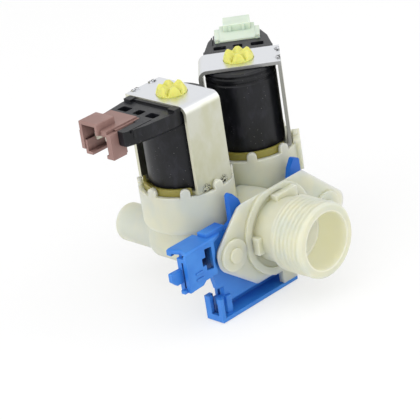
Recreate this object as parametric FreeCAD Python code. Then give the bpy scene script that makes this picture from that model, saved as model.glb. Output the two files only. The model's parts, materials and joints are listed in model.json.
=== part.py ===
import FreeCAD, Part
import math
import os
from collections import namedtuple

# Twin solenoid inlet valve. Millimetres.
# The origin is on the inlet's axis, at the front face of its flange.
# The inlet points along -Y, the coils stand along +Z, and +X runs from the left valve to the right one.

V = FreeCAD.Vector

# Driving dimensions of the inlet and its flange

thread_radius = 13.2
thread_pitch = 1.814
thread_depth = 0.8
thread_groove_half = 0.64
thread_root_half = 0.12
thread_start = 8.0
inlet_length = 22.4
inlet_bore_radius = 10.1
inlet_floor_y = -4.4
neck_radius = 11.5
mouth_chamfer = 0.8
flange_thickness = 3.0
flange_top_z = 15.4
flange_bottom_z = -15.6
flange_top_left_x = -16.2
flange_top_right_x = 15.0
flange_bottom_left_x = -13.0
flange_bottom_right_x = 15.3
flange_corner_radius = 2.5
flange_left_tip_x = -32.9
flange_left_tip_z = -0.5
flange_left_tip_radius = 6.5
flange_right_tip_x = 36.8
flange_right_tip_z = -3.6
flange_right_tip_radius = 4.6
collar_outer_radius = 16.3
collar_inner_radius = 13.7
collar_height = 1.0
left_boss_x = -22.0
left_boss_z = -0.6
right_boss_x = 24.6
right_boss_z = -2.6
boss_radius = 5.6
boss_height = 1.0
pip_radius = 2.6
pip_height = 0.8
lug_height = 3.6
tongue_width = 6.6
tongue_depth = 5.5
tongue_thickness = 2.4

# Driving dimensions of the two valve chambers and their outlets

cup_reach = 2.05
cup_merge = 0.1
cup_setback = 4.9
cup_floor_z = 6.0
cup_rim_z = 20.0
cup_bottom_fillet = 2.2
post_count = 8
post_width = 3.4
post_rise = 3.0
post_thickness = 1.5
ear_width = 11.0
ear_thickness = 2.6
ear_rise = 1.4
ear_gap = 0.35
chamber_floor_z = 8.0
seat_outer_radius = 6.4
seat_bore_radius = 4.8
seat_top_z = 13.4
duct_radius = 11.8
manifold_radius = 8.6
manifold_setback = 7.7
manifold_z = -0.5
feed_bore_radius = 6.4
port_radius = 2.6
web_half_width = 5.0
web_half_depth = 4.0
outlet_z = -3.3
outlet_radius = 6.9
outlet_bore_radius = 4.9
outlet_length = 33.8
outlet_tip_rounding = 1.6
outlet_root_radius = 8.6
outlet_root_length = 14.8

# Driving dimensions of the coils

winding_radius = 10.0
bobbin_flange_reach = 0.5
coil_wall = 1.8
coil_bottom_gap = 0.2
coil_height = 28.8
coil_end_wall = 1.6
ring_mark_depth = 0.35
bobbin_wall = 0.8
bobbin_flange_thickness = 1.1
fit_gap = 0.1
arm_root_inset = 0.2
arm_root_x = 12.0
arm_knee_x = 23.0
arm_knee_half_width = 10.5
arm_end_x = 30.2
arm_end_half_width = 8.0
arm_rise = 0.2
arm_thickness = 5.4
pocket_near_x = 13.9
pocket_far_x = 17.3
pocket_depth = 2.4
rib_rise = 1.0
terminal_pitch = 5.0
terminal_thickness = 0.8
terminal_height = 2.8
terminal_drop = 3.0
terminal_inset = 2.0

# Driving dimensions of the connector housings

housing_width = 12.6
housing_wall = 1.5
housing_leg_thickness = 2.3
housing_rise = 0.6
keybox_rise = 2.5
keybox_wall = 1.2
housing_skirt = 9.2
left_housing_offset = 3.3
left_housing_back_x = 19.3
left_housing_front_x = 33.4
left_keybox_offset = 0.8
left_keybox_width = 8.6
left_keybox_back_x = 26.6
left_keybox_front_x = 34.6
right_housing_offset = 0.0
right_housing_back_x = 21.0
right_housing_front_x = 36.2
right_keybox_offset = 0.1
right_keybox_width = 9.7
right_keybox_back_x = 29.8
right_keybox_front_x = 38.2

# Driving dimensions of the yokes

sheet = 1.2
yoke_clearance = 0.75
yoke_width = 16.0
yoke_seat_gap = 0.1
yoke_bend_radius = 3.0
base_bend_radius = 1.6
stake_width = 2.6
stake_spacing = 8.0
stake_rise = 0.35
right_yoke_turn = -135.0

# Driving dimensions of the guide tubes, plungers and diaphragms

tube_radius = 5.2
tube_wall = 0.65
tube_cap_drop = 2.4
cup_rim_wall = 2.0
guide_seat_z = 18.6
guide_flange_thickness = 1.5
guide_rim_wall = 1.0
guide_rim_rise = 2.3
guide_cavity_radius = 9.4
crown_rise = 2.9
crown_lobes = 6
crown_notch_depth = 1.5
crown_dimple_radius = 2.0
plunger_clearance = 0.05
plunger_bottom_z = 18.4
plunger_top_z = 42.0
spring_well_radius = 2.4
spring_well_depth = 6.0
spring_radius = 1.9
spring_wire = 0.25
spring_turns = 8
seal_radius = 2.2
seal_drop = 1.0
seal_depth = 1.6
pole_wall = 1.15
lower_pole_top_z = 33.0
upper_pole_bottom_z = 38.5
bead_inset = 1.8
bead_width = 1.0
bead_seat_z = 14.2
bead_top_z = 16.4
membrane_z = 14.6
membrane_thickness = 0.8
membrane_ridge_radius = 8.0
insert_inset = 0.5
insert_bottom_z = 13.7
insert_top_z = 15.6
pilot_radius = 1.8
pilot_top_z = 17.2
pilot_bore_radius = 0.6

# Driving dimensions of the strainer and the flow regulator

strainer_setback = 2.0
strainer_thickness = 1.0
strainer_rim_length = 3.4
strainer_hole_radius = 0.55
tab_width = 3.0
tab_reach = 4.6
carrier_radius = 8.4
carrier_length = 7.0
carrier_bore_radius = 5.0
regulator_thickness = 3.0
regulator_hole_radius = 2.2

# Driving dimensions of the mounting bracket

plate_thickness = 2.1
bracket_gap = 0.05
plate_left_x = -29.8
plate_top_z = 9.0
plate_hole_clearance = 0.3
prong_top_z = 19.2
prong_inner_x = 12.6
prong_outer_x = 17.8
rail_left_x = -30.5
rail_right_x = 6.5
rail_bottom_z = -22.7
rail_lip_z = -17.6
rail_wall = 1.4
rail_front_y = 0.5
rail_back_y = 8.3
guide_wall_left_x = -25.4
guide_wall_right_x = -14.0
guide_wall_top_z = -6.5
clip_left_x = -42.4
clip_right_x = -29.0
clip_front_y = 1.0
clip_back_y = 10.2
clip_bottom_z = -6.0
clip_top_z = 8.4
clip_wall = 1.4
clip_step_left_x = -30.2
clip_step_right_x = -21.6
clip_step_rise = 1.5
hook_depth = 2.3
window_left_x = -33.7
window_right_x = -30.5
window_bottom_z = -1.9
window_top_z = 6.1
window_notch_depth = 1.6
stub_reach = 4.8

# Sizes and places that follow from the driving ones

bobbin_flange_radius = winding_radius + bobbin_flange_reach
coil_radius = bobbin_flange_radius + coil_wall
arm_root_half_width = coil_radius - arm_root_inset
yoke_half_length = coil_radius + yoke_clearance + sheet
cup_radius = yoke_half_length + cup_reach
cup_spacing = 2 * cup_radius - cup_merge
cup_y = flange_thickness + cup_setback + cup_radius
guide_flange_radius = cup_radius - cup_rim_wall
guide_seat_radius = guide_flange_radius + 2 * fit_gap
bead_radius = guide_flange_radius - bead_inset
bead_seat_radius = bead_radius + 2 * fit_gap
chamber_radius = bead_radius - bead_width - fit_gap
insert_radius = seat_outer_radius - insert_inset
post_top_z = cup_rim_z + post_rise
ear_top_z = cup_rim_z + ear_rise
manifold_y = cup_y - manifold_setback
duct_end_y = manifold_y + 0.5
outlet_end_y = cup_y + outlet_length
outlet_root_end_y = cup_y + outlet_root_length
tube_bore_radius = tube_radius - tube_wall
tube_hole_radius = tube_radius + 2 * fit_gap
pole_inner_radius = tube_radius + fit_gap
coil_bore_radius = pole_inner_radius + pole_wall + 1.5 * fit_gap
plunger_radius = tube_bore_radius - plunger_clearance
guide_flange_top_z = guide_seat_z + guide_flange_thickness
guide_rim_top_z = guide_flange_top_z + guide_rim_rise
yoke_bottom_z = guide_flange_top_z + yoke_seat_gap
coil_bottom_z = yoke_bottom_z + sheet + coil_bottom_gap
coil_top_z = coil_bottom_z + coil_height
yoke_top_z = coil_top_z + coil_bottom_gap + sheet
arm_top_z = coil_top_z + arm_rise
arm_bottom_z = arm_top_z - arm_thickness
terminal_z = arm_top_z - terminal_drop
housing_roof_z = arm_top_z + housing_rise
housing_skirt_z = housing_roof_z - housing_skirt
keybox_top_z = housing_roof_z + keybox_rise
tube_cap_z = yoke_top_z - tube_cap_drop
crown_top_z = yoke_top_z + crown_rise
strainer_y = inlet_floor_y - strainer_setback
carrier_end_y = inlet_floor_y + carrier_length
left_axis = V(-cup_spacing / 2, cup_y, 0)
right_axis = V(cup_spacing / 2, cup_y, 0)
plate_front_y = flange_thickness + bracket_gap
plate_back_y = plate_front_y + plate_thickness


# Building blocks

def block(x0, x1, y0, y1, z0, z1):
    """A rectangular block between two corners."""
    return Part.makeBox(x1 - x0, y1 - y0, z1 - z0, V(x0, y0, z0))


def rod(radius, z0, z1, x=0.0, y=0.0):
    """A cylinder standing along Z."""
    return Part.makeCylinder(radius, z1 - z0, V(x, y, z0))


def rod_y(radius, y0, y1, x=0.0, z=0.0):
    """A cylinder lying along Y."""
    return Part.makeCylinder(radius, y1 - y0, V(x, y0, z), V(0, 1, 0))


def rod_x(radius, x0, x1, y=0.0, z=0.0):
    """A cylinder lying along X."""
    return Part.makeCylinder(radius, x1 - x0, V(x0, y, z), V(1, 0, 0))


def ring(outer, inner, z0, z1):
    """A round sleeve standing along Z on the origin's axis."""
    return rod(outer, z0, z1).cut(rod(inner, z0 - 1, z1 + 1))


def fuse(shapes):
    """One solid from shapes that overlap or touch."""
    result = shapes[0].multiFuse(shapes[1:])
    return result.removeSplitter()


def turned(profile):
    """A solid turned about Z from a closed outline of (radius, z) points."""
    points = [V(r, 0, z) for r, z in profile]
    wire = Part.makePolygon(points + [points[0]])
    return Part.Face(wire).revolve(V(0, 0, 0), V(0, 0, 1), 360)


def turned_y(profile):
    """A solid turned about the inlet's axis from a closed outline of (radius, y) points."""
    points = [V(r, y, 0) for r, y in profile]
    wire = Part.makePolygon(points + [points[0]])
    return Part.Face(wire).revolve(V(0, 0, 0), V(0, 1, 0), 360)


def rounded_wire(corners, to_space):
    """A closed outline through (u, v, radius) corners, each rounded by its own radius."""
    count = len(corners)
    starts, ends, middles = [], [], []
    for i, (u, v, radius) in enumerate(corners):
        here = V(u, v, 0)
        before = V(corners[i - 1][0], corners[i - 1][1], 0)
        after = V(corners[(i + 1) % count][0], corners[(i + 1) % count][1], 0)
        back = (before - here).normalize()
        on = (after - here).normalize()
        half = back.getAngle(on) / 2
        reach = radius / math.tan(half)
        middle_way = (back + on).normalize()
        centre = here + middle_way * (radius / math.sin(half))
        starts.append(here + back * reach)
        ends.append(here + on * reach)
        middles.append(centre - middle_way * radius)
    edges = []
    for i in range(count):
        a, m, b = starts[i], middles[i], ends[i]
        if corners[i][2] > 0:
            arc = Part.Arc(to_space(a), to_space(m), to_space(b))
            edges.append(arc.toShape())
        following = starts[(i + 1) % count]
        if (following - b).Length > 1e-6:
            edges.append(Part.makeLine(to_space(b), to_space(following)))
    return Part.Wire(edges)


def plate_xz(corners, y0, y1):
    """A plate facing Y, cut to a rounded outline of (x, z, radius) corners."""
    wire = rounded_wire(corners, lambda p: V(p.x, y0, p.y))
    return Part.Face(wire).extrude(V(0, y1 - y0, 0))


def plate_xy(corners, z0, z1):
    """A plate facing Z, cut to a rounded outline of (x, y, radius) corners."""
    wire = rounded_wire(corners, lambda p: V(p.x, p.y, z0))
    return Part.Face(wire).extrude(V(0, 0, z1 - z0))


def plate_yz(corners, x0, x1):
    """A plate facing X, cut to a rounded outline of (y, z, radius) corners."""
    wire = rounded_wire(corners, lambda p: V(x0, p.x, p.y))
    return Part.Face(wire).extrude(V(x1 - x0, 0, 0))


def around(shape, angle):
    """A copy turned about Z through the origin."""
    copy = shape.copy()
    copy.rotate(V(0, 0, 0), V(0, 0, 1), angle)
    return copy


def placed(shape, side):
    """A piece of one solenoid, made on its own axis, at its place on the body."""
    if side == "right":
        shape = around(shape, right_yoke_turn)
        return shape.translated(right_axis)
    return shape.translated(left_axis)


# Valve body

def flange_outline(y0, y1, clearance=0.0):
    """The six-sided flange that seats against the appliance's panel, or the room that it needs."""
    corners = [
        (flange_left_tip_x, flange_left_tip_z, flange_left_tip_radius),
        (flange_bottom_left_x, flange_bottom_z, flange_corner_radius),
        (flange_bottom_right_x, flange_bottom_z, flange_corner_radius),
        (flange_right_tip_x, flange_right_tip_z, flange_right_tip_radius),
        (flange_top_right_x, flange_top_z, flange_corner_radius),
        (flange_top_left_x, flange_top_z, flange_corner_radius),
    ]
    outline = Part.Face(rounded_wire(corners, lambda p: V(p.x, y0, p.y)))
    if clearance > 0:
        outline = outline.makeOffset2D(clearance)
    return outline.extrude(V(0, y1 - y0, 0))


def thread_profile():
    """The grooves between the thread's ridges, as (radius, y) points from the mouth to the run-out."""
    first = -inlet_length + mouth_chamfer + thread_pitch / 2
    count = int((inlet_length - thread_start - 2 * mouth_chamfer) / thread_pitch)
    root = thread_radius - thread_depth
    points = []
    for i in range(count):
        y = first + i * thread_pitch
        points.append((thread_radius, y - thread_groove_half))
        points.append((root, y - thread_root_half))
        points.append((root, y + thread_root_half))
        points.append((thread_radius, y + thread_groove_half))
    return points


def inlet_solid():
    """The threaded inlet, its neck, the flange and what stands out of its face."""
    mouth = [
        (0, -inlet_length),
        (thread_radius - mouth_chamfer, -inlet_length),
        (thread_radius, -inlet_length + mouth_chamfer),
    ]
    neck = [
        (thread_radius, -thread_start - mouth_chamfer),
        (neck_radius, -thread_start),
        (neck_radius, flange_thickness),
        (0, flange_thickness),
    ]
    barrel = turned_y(mouth + thread_profile() + neck)
    collar_disc = rod_y(collar_outer_radius, -collar_height, 0)
    collar_disc = collar_disc.common(flange_outline(-collar_height, 0))
    collar = collar_disc.cut(rod_y(collar_inner_radius, -collar_height - 1, 1))
    pieces = [flange_outline(0, flange_thickness), barrel, collar]
    for x, z in ((left_boss_x, left_boss_z), (right_boss_x, right_boss_z)):
        pieces.append(rod_y(boss_radius, -boss_height, 0.5, x, z))
        pieces.append(rod_y(pip_radius, -boss_height - pip_height, 0.5, x, z))
    side_lug = block(-neck_radius - 1.9, -neck_radius + 2, -lug_height, 0.5, -4.0, 2.0)
    top_lug = block(-2.0, 8.0, -lug_height, 0.5, neck_radius - 3.4, neck_radius + 1.8)
    tongue = block(-0.4, tongue_width - 0.4, 0, tongue_thickness,
                   flange_bottom_z - tongue_depth, flange_bottom_z + 1)
    return fuse(pieces + [side_lug, top_lug, tongue])


def cup_solid(side):
    """The outer form of one valve chamber, with its rim posts and its flat ear."""
    cup = rod(cup_radius, cup_floor_z, cup_rim_z)
    lower_edges = [e for e in cup.Edges if e.CenterOfMass.z < cup_floor_z + 0.1]
    cup = cup.makeFillet(cup_bottom_fillet, lower_edges)
    pieces = [cup]
    inner = cup_radius - post_thickness
    for i in range(post_count):
        top_centre = post_top_z - post_width / 2
        post = block(inner, cup_radius, -post_width / 2, post_width / 2, cup_rim_z - 2, top_centre)
        dome = rod_x(post_width / 2, inner, cup_radius, 0, top_centre)
        curved = rod(cup_radius, 0, post_top_z + 1).cut(rod(inner, -1, post_top_z + 2))
        post = post.fuse(dome).common(curved)
        pieces.append(around(post, i * 360.0 / post_count))
    ear_y = yoke_half_length + ear_gap
    ear_root_z = cup_floor_z + 4
    ear = plate_xz([
        (-ear_width / 2, ear_root_z, 0.5),
        (ear_width / 2, ear_root_z, 0.5),
        (ear_width / 2, ear_top_z, 1.6),
        (-ear_width / 2, ear_top_z, 1.6),
    ], ear_y, ear_y + ear_thickness)
    pieces.append(ear)
    return placed(fuse(pieces), side)


def cup_hollow(side):
    """What is open inside one chamber: guide seat, bead seat, water ring and seat bore."""
    hollow = turned([
        (0, post_top_z + 5),
        (0, seat_top_z),
        (0, outlet_z),
        (seat_bore_radius, outlet_z),
        (seat_bore_radius, seat_top_z),
        (seat_outer_radius, seat_top_z),
        (seat_outer_radius, chamber_floor_z),
        (chamber_radius, chamber_floor_z),
        (chamber_radius, bead_seat_z),
        (bead_seat_radius, bead_seat_z),
        (bead_seat_radius, guide_seat_z),
        (guide_seat_radius, guide_seat_z),
        (guide_seat_radius, post_top_z + 5),
    ])
    return placed(hollow, side)


def outlet_solid(axis):
    """The elbow below a chamber and the hose spigot that leaves it."""
    x = axis.x
    drop = rod(outlet_root_radius - 0.4, outlet_z, cup_floor_z + 3, x, cup_y)
    elbow = Part.makeSphere(outlet_root_radius, V(x, cup_y, outlet_z))
    root = rod_y(outlet_root_radius, cup_y, outlet_root_end_y, x, outlet_z)
    end_edges = [e for e in root.Edges if e.CenterOfMass.y > outlet_root_end_y - 0.1]
    root = root.makeFillet(1.0, end_edges)
    spigot = rod_y(outlet_radius, cup_y, outlet_end_y, x, outlet_z)
    tip_edges = [e for e in spigot.Edges if e.CenterOfMass.y > outlet_end_y - 0.1]
    spigot = spigot.makeFillet(outlet_tip_rounding, tip_edges)
    return [drop, elbow, root, spigot]


def valve_body():
    """One moulding: inlet, flange, two chambers and two outlets, with its water ways."""
    pieces = [inlet_solid(), cup_solid("left"), cup_solid("right")]
    pieces.append(rod_y(duct_radius, 0.5, duct_end_y))
    pieces.append(rod_x(manifold_radius, left_axis.x, right_axis.x, manifold_y, manifold_z))
    pieces.append(block(-web_half_width, web_half_width, cup_y - web_half_depth, cup_y + web_half_depth,
                        cup_floor_z - 1, cup_floor_z + 6))
    pieces += outlet_solid(left_axis) + outlet_solid(right_axis)
    body = fuse(pieces)
    ways = [cup_hollow("left"), cup_hollow("right")]
    ways.append(rod_y(inlet_bore_radius, -inlet_length - 1, inlet_floor_y))
    ways.append(rod_y(carrier_radius + fit_gap, inlet_floor_y - 1, carrier_end_y))
    ways.append(rod_y(feed_bore_radius, 0, manifold_y + 2))
    ways.append(rod_x(feed_bore_radius, left_axis.x + 9.5, right_axis.x - 9.5, manifold_y, manifold_z))
    for axis in (left_axis, right_axis):
        ways.append(rod_y(outlet_bore_radius, cup_y, outlet_end_y + 1, axis.x, outlet_z))
        inward = -1 if axis.x > 0 else 1
        ways.append(rod(port_radius, manifold_z, chamber_floor_z + 1, axis.x + inward * 8.4, cup_y - 4.0))
        ways.append(rod_y(port_radius, manifold_y, cup_y - 4.0, axis.x + inward * 8.4, manifold_z))
    for way in ways:
        body = body.cut(way)
    return body.removeSplitter()


# Inlet strainer and flow regulator

def inlet_strainer():
    """The sieve in the inlet, with the tab that it is pulled out by."""
    radius = inlet_bore_radius - fit_gap
    back = strainer_y + strainer_thickness
    disc = rod_y(radius, strainer_y, back)
    rim_tube = rod_y(radius, strainer_y - strainer_rim_length, back)
    rim_tube = rim_tube.cut(rod_y(radius - 1.0, strainer_y - strainer_rim_length - 1, back + 1))
    tab = block(-tab_width / 2, tab_width / 2, strainer_y - tab_reach, strainer_y + 0.2, -0.6, 0.6)
    tab = tab.fuse(block(-tab_width / 2, tab_width / 2, strainer_y - tab_reach,
                         strainer_y - tab_reach + 1.0, -1.2, 1.2))
    sieve = fuse([disc, rim_tube, tab])
    holes = []
    for circle, count in ((3.2, 8), (5.0, 12), (6.8, 16), (8.1, 20)):
        for i in range(count):
            angle = 2 * math.pi * i / count
            holes.append(rod_y(strainer_hole_radius, strainer_y - 1, back + 1,
                               circle * math.cos(angle), circle * math.sin(angle)))
    return sieve.cut(Part.makeCompound(holes))


def regulator_carrier():
    """The cage behind the strainer that holds the flow regulator."""
    front = inlet_floor_y
    cage = rod_y(carrier_radius, front, carrier_end_y)
    cage = cage.cut(rod_y(carrier_radius - 1.4, front - 1, front + regulator_thickness + 0.1))
    cage = cage.cut(rod_y(carrier_bore_radius - 1.2, front - 1, carrier_end_y + 1))
    slots = []
    for i in range(6):
        angle = math.radians(60 * i)
        slots.append(rod_y(0.9, front, carrier_end_y + 1, 5.6 * math.cos(angle), 5.6 * math.sin(angle)))
    return cage.cut(Part.makeCompound(slots))


def flow_regulator():
    """The rubber disc that narrows its own hole as the pressure rises."""
    front = inlet_floor_y
    radius = carrier_radius - 1.4 - 0.05
    disc = rod_y(radius, front + 0.1, front + regulator_thickness + 0.1)
    rims = [e for e in disc.Edges if e.CenterOfMass.y < front + 0.2 and abs(e.Length) > radius * 6]
    disc = disc.makeChamfer(0.5, rims)
    return disc.cut(rod_y(regulator_hole_radius, front - 1, front + regulator_thickness + 1))


# Solenoid pieces, each on its own axis, with the terminal arm along -X

def arm_outline(grow=0.0):
    """The arm in plan, narrowing from the coil to the connector."""
    return [
        (0, -arm_root_half_width - grow, 0),
        (-arm_root_x, -arm_root_half_width - grow, 6.0),
        (-arm_knee_x, -arm_knee_half_width - grow, 6.0),
        (-arm_end_x, -arm_end_half_width - grow, 1.0),
        (-arm_end_x, arm_end_half_width + grow, 1.0),
        (-arm_knee_x, arm_knee_half_width + grow, 6.0),
        (-arm_root_x, arm_root_half_width + grow, 6.0),
        (0, arm_root_half_width + grow, 0),
    ]


Socket = namedtuple("Socket", "offset back front key_offset key_width key_back key_front clips")


def socket_of(side):
    """The places and widths in which the two connectors differ."""
    if side == "left":
        return Socket(left_housing_offset, -left_housing_back_x, -left_housing_front_x, left_keybox_offset,
                      left_keybox_width, -left_keybox_back_x, -left_keybox_front_x, False)
    return Socket(right_housing_offset, -right_housing_back_x, -right_housing_front_x, right_keybox_offset,
                  right_keybox_width, -right_keybox_back_x, -right_keybox_front_x, True)


def housing_span(socket):
    """Where the connector housing's roof begins and ends across the arm."""
    return socket.offset - housing_width / 2, socket.offset + housing_width / 2


def socket_span(socket):
    """Where the connector's opening begins and ends across the arm."""
    low, high = housing_span(socket)
    return low + 0.4, high - 0.9 - housing_wall


def terminal_places(socket):
    """The two terminals, either side of the middle of the connector's opening."""
    low, high = socket_span(socket)
    middle = (low + high) / 2
    return middle - terminal_pitch / 2, middle + terminal_pitch / 2


def terminal_blades(socket):
    """Two flat tags that run from the winding to the connector."""
    blades = []
    low, high = terminal_z - terminal_height / 2, terminal_z + terminal_height / 2
    root, tip = -winding_radius - 0.9, socket.front + terminal_inset
    for y in terminal_places(socket):
        outline = [(tip, low, 0.5), (root, low, 0.1), (root, high, 0.1), (tip, high, 0.5)]
        blades.append(plate_xz(outline, y - terminal_thickness / 2, y + terminal_thickness / 2))
    return blades


def coil_overmould(socket):
    """The black moulding over the winding, with its terminal arm."""
    outer = turned([
        (0, coil_bottom_z),
        (coil_radius - 0.5, coil_bottom_z),
        (coil_radius, coil_bottom_z + 0.5),
        (coil_radius, coil_top_z - 4.4),
        (coil_radius - ring_mark_depth, coil_top_z - 4.1),
        (coil_radius - ring_mark_depth, coil_top_z - 3.4),
        (coil_radius, coil_top_z - 3.1),
        (coil_radius, coil_top_z - 2.0),
        (coil_radius - ring_mark_depth, coil_top_z - 1.7),
        (coil_radius - ring_mark_depth, coil_top_z - 1.2),
        (coil_radius, coil_top_z - 0.9),
        (coil_radius, coil_top_z - 0.6),
        (coil_radius - 0.6, coil_top_z),
        (0, coil_top_z),
    ])
    yoke_edge = yoke_width / 2 + fit_gap
    arm = plate_xy(arm_outline(), arm_bottom_z, arm_top_z)
    bevel = [e for e in arm.Edges if e.CenterOfMass.z < arm_bottom_z + 0.1 and e.CenterOfMass.x < -1]
    arm = arm.makeChamfer(0.6, bevel)
    arm = arm.cut(block(-yoke_edge, 5, -20, 20, coil_top_z - 0.4, arm_top_z + 5))
    ledge = plate_xy([
        (-yoke_edge, -arm_root_half_width, 0),
        (-yoke_edge - 1.3, -arm_root_half_width, 0),
        (-yoke_edge - 1.3, arm_root_half_width, 0),
        (-yoke_edge, arm_root_half_width, 0),
    ], arm_top_z - 1, arm_top_z + rib_rise * 0.7)
    pieces = [outer, arm, ledge]
    for y in (-arm_root_half_width + 1.6, arm_root_half_width - 1.6):
        pieces.append(block(-yoke_edge - 2.8, -yoke_edge, y - 1.6, y + 1.6, arm_top_z - 1, arm_top_z + rib_rise))
    low, high = housing_span(socket)
    rail_end = socket.back - 1.2
    pieces.append(block(-arm_end_x + 3, rail_end, -arm_end_half_width - 1.4, -arm_end_half_width + 0.2,
                        arm_top_z - 3, arm_top_z))
    body = fuse(pieces)
    body = body.cut(coil_hollow())
    for y_low, y_high in ((-8.6, -4.2), (-1.8, 1.6), (4.5, 9.0)):
        pocket = plate_xy([
            (-pocket_far_x, y_low, 0.6), (-pocket_near_x, y_low, 0.6),
            (-pocket_near_x, y_high, 0.6), (-pocket_far_x, y_high, 0.6),
        ], arm_top_z - pocket_depth, arm_top_z + 1)
        body = body.cut(pocket)
    seat = block(-arm_end_x - 5, socket.back, low - fit_gap, high + fit_gap,
                 housing_roof_z - housing_wall, housing_roof_z + 5)
    socket_low, socket_high = socket_span(socket)
    mouth = block(-arm_end_x - 5, socket.back - 2.5, socket_low - housing_leg_thickness - fit_gap,
                  socket_high + housing_wall + fit_gap, arm_bottom_z - 5, housing_roof_z)
    body = body.cut(seat).cut(mouth)
    for groove in clip_strips(socket, fit_gap):
        body = body.cut(groove)
    for blade in terminal_blades(socket):
        body = body.cut(blade)
    side_groove = block(-arm_end_x + 2, -pocket_far_x - 1, -arm_end_half_width - 0.9, -arm_end_half_width - 0.5,
                        arm_top_z - 1.0, arm_top_z + 1)
    return body.cut(side_groove)


def coil_hollow():
    """The room inside the overmould for the bobbin, the winding and the guide tube."""
    inner_low = coil_bottom_z + coil_end_wall
    inner_high = coil_top_z - coil_end_wall
    room = rod(bobbin_flange_radius + fit_gap, inner_low, inner_high)
    return room.fuse(rod(coil_bore_radius, coil_bottom_z - 1, coil_top_z + 1))


def bobbin():
    """The spool that the wire is wound on."""
    low = coil_bottom_z + coil_end_wall
    high = coil_top_z - coil_end_wall
    core = coil_bore_radius + bobbin_wall
    return turned([
        (coil_bore_radius, low),
        (bobbin_flange_radius, low),
        (bobbin_flange_radius, low + bobbin_flange_thickness),
        (core, low + bobbin_flange_thickness),
        (core, high - bobbin_flange_thickness),
        (bobbin_flange_radius, high - bobbin_flange_thickness),
        (bobbin_flange_radius, high),
        (coil_bore_radius, high),
    ])


def winding():
    """The copper winding between the spool's flanges."""
    low = coil_bottom_z + coil_end_wall + bobbin_flange_thickness
    high = coil_top_z - coil_end_wall - bobbin_flange_thickness
    return ring(winding_radius, coil_bore_radius + bobbin_wall, low, high)


def clip_strips(socket, grow=0.0):
    """The strips that slide into grooves in the arm and hook behind its end."""
    low, high = housing_span(socket)
    roof_under = housing_roof_z - housing_wall
    front = socket.front + 3.4 - grow * 30
    back = socket.back + 0.2 + grow
    if not socket.clips:
        return [block(front, back, low - 0.9 - grow, low + 0.1, roof_under + 0.3 - grow, housing_roof_z - 0.5)]
    strips = []
    for y in (low - 1.7, high):
        strips.append(block(front, back, y - grow, y + 1.7 + grow, roof_under - grow, housing_roof_z - 0.2))
    return strips


def connector_housing(socket):
    """The coloured socket that slides over the end of the arm and keys the plug."""
    low, high = housing_span(socket)
    socket_low, socket_high = socket_span(socket)
    roof_under = housing_roof_z - housing_wall
    front, back = socket.front, socket.back
    inner_end = back - 2.6
    roof = block(front, back, low, high, roof_under, housing_roof_z)
    box_low = socket.offset + socket.key_offset - socket.key_width / 2
    box_high = box_low + socket.key_width
    keybox = block(socket.key_front, socket.key_back, box_low, box_high, roof_under, keybox_top_z)
    top_edges = [e for e in keybox.Edges if e.CenterOfMass.z > keybox_top_z - 0.1]
    keybox = keybox.makeFillet(0.4, top_edges)
    wall_far = block(socket.key_front, inner_end, socket_high, socket_high + housing_wall,
                     housing_skirt_z + 1.8, roof_under + 0.5)
    wall_lip = block(socket.key_front + 0.4, inner_end, socket_high - 0.9, socket_high + 0.2,
                     housing_skirt_z, housing_skirt_z + 5.0)
    lip_floor = block(socket.key_front + 0.4, inner_end, socket_high - 2.9, socket_high + 0.2,
                      housing_skirt_z, housing_skirt_z + 1.0)
    leg_low = socket_low - housing_leg_thickness
    leg = block(front, front + 6.2, leg_low, socket_low, housing_skirt_z, roof_under + 0.5)
    foot = block(front, front + 5.8, leg_low, socket_low + 1.0, housing_skirt_z - 0.6, housing_skirt_z + 0.6)
    shelf = block(socket.key_front + 1.4, inner_end, socket_low - 0.2, box_low + keybox_wall,
                  roof_under - 0.6, roof_under + 0.2)
    pieces = [roof, keybox, wall_far, wall_lip, lip_floor, leg, foot, shelf]
    pieces += clip_strips(socket)
    if socket.clips:
        for y in (low - 1.7, high):
            pieces.append(block(back - 1.0, back + 0.2, y + 0.2, y + 1.5, arm_top_z + 0.05, housing_roof_z + 0.8))
        for y in (socket.offset - 2.4, socket.offset + 2.4):
            pieces.append(block(socket.key_back - 0.2, socket.key_back + 0.6, y - 0.5, y + 0.5,
                                housing_roof_z - 0.1, keybox_top_z - 0.5))
    housing = fuse(pieces)
    keyway = block(socket.key_front - 1, socket.key_back - keybox_wall, box_low + keybox_wall,
                   box_high - keybox_wall, roof_under - 2, keybox_top_z - keybox_wall)
    return housing.cut(keyway)


def stake_positions():
    """The two tabs that lock each pair of yoke plates."""
    return -stake_spacing / 2, stake_spacing / 2


def yoke_cap():
    """The plate over the coil, bent down one side, with slots for the lower plate's tabs."""
    half = yoke_width / 2
    near = -yoke_half_length
    profile = [
        (near, yoke_bottom_z, 0),
        (near + sheet, yoke_bottom_z, 0),
        (near + sheet, yoke_top_z - sheet, yoke_bend_radius - sheet),
        (yoke_half_length, yoke_top_z - sheet, 0),
        (yoke_half_length, yoke_top_z, 0),
        (near, yoke_top_z, yoke_bend_radius),
    ]
    cap = plate_yz(profile, -half, half)
    cap = cap.cut(rod(tube_hole_radius, yoke_top_z - 3, yoke_top_z + 1))
    for x in stake_positions():
        cap = cap.cut(block(x - stake_width / 2, x + stake_width / 2, yoke_half_length - sheet,
                            yoke_half_length + 1, yoke_top_z - 3, yoke_top_z + 1))
        cap = cap.cut(block(x - stake_width / 2, x + stake_width / 2, near - 1, near + sheet + 0.1,
                            yoke_bottom_z - 0.5, yoke_bottom_z + sheet))
    return cap


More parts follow.
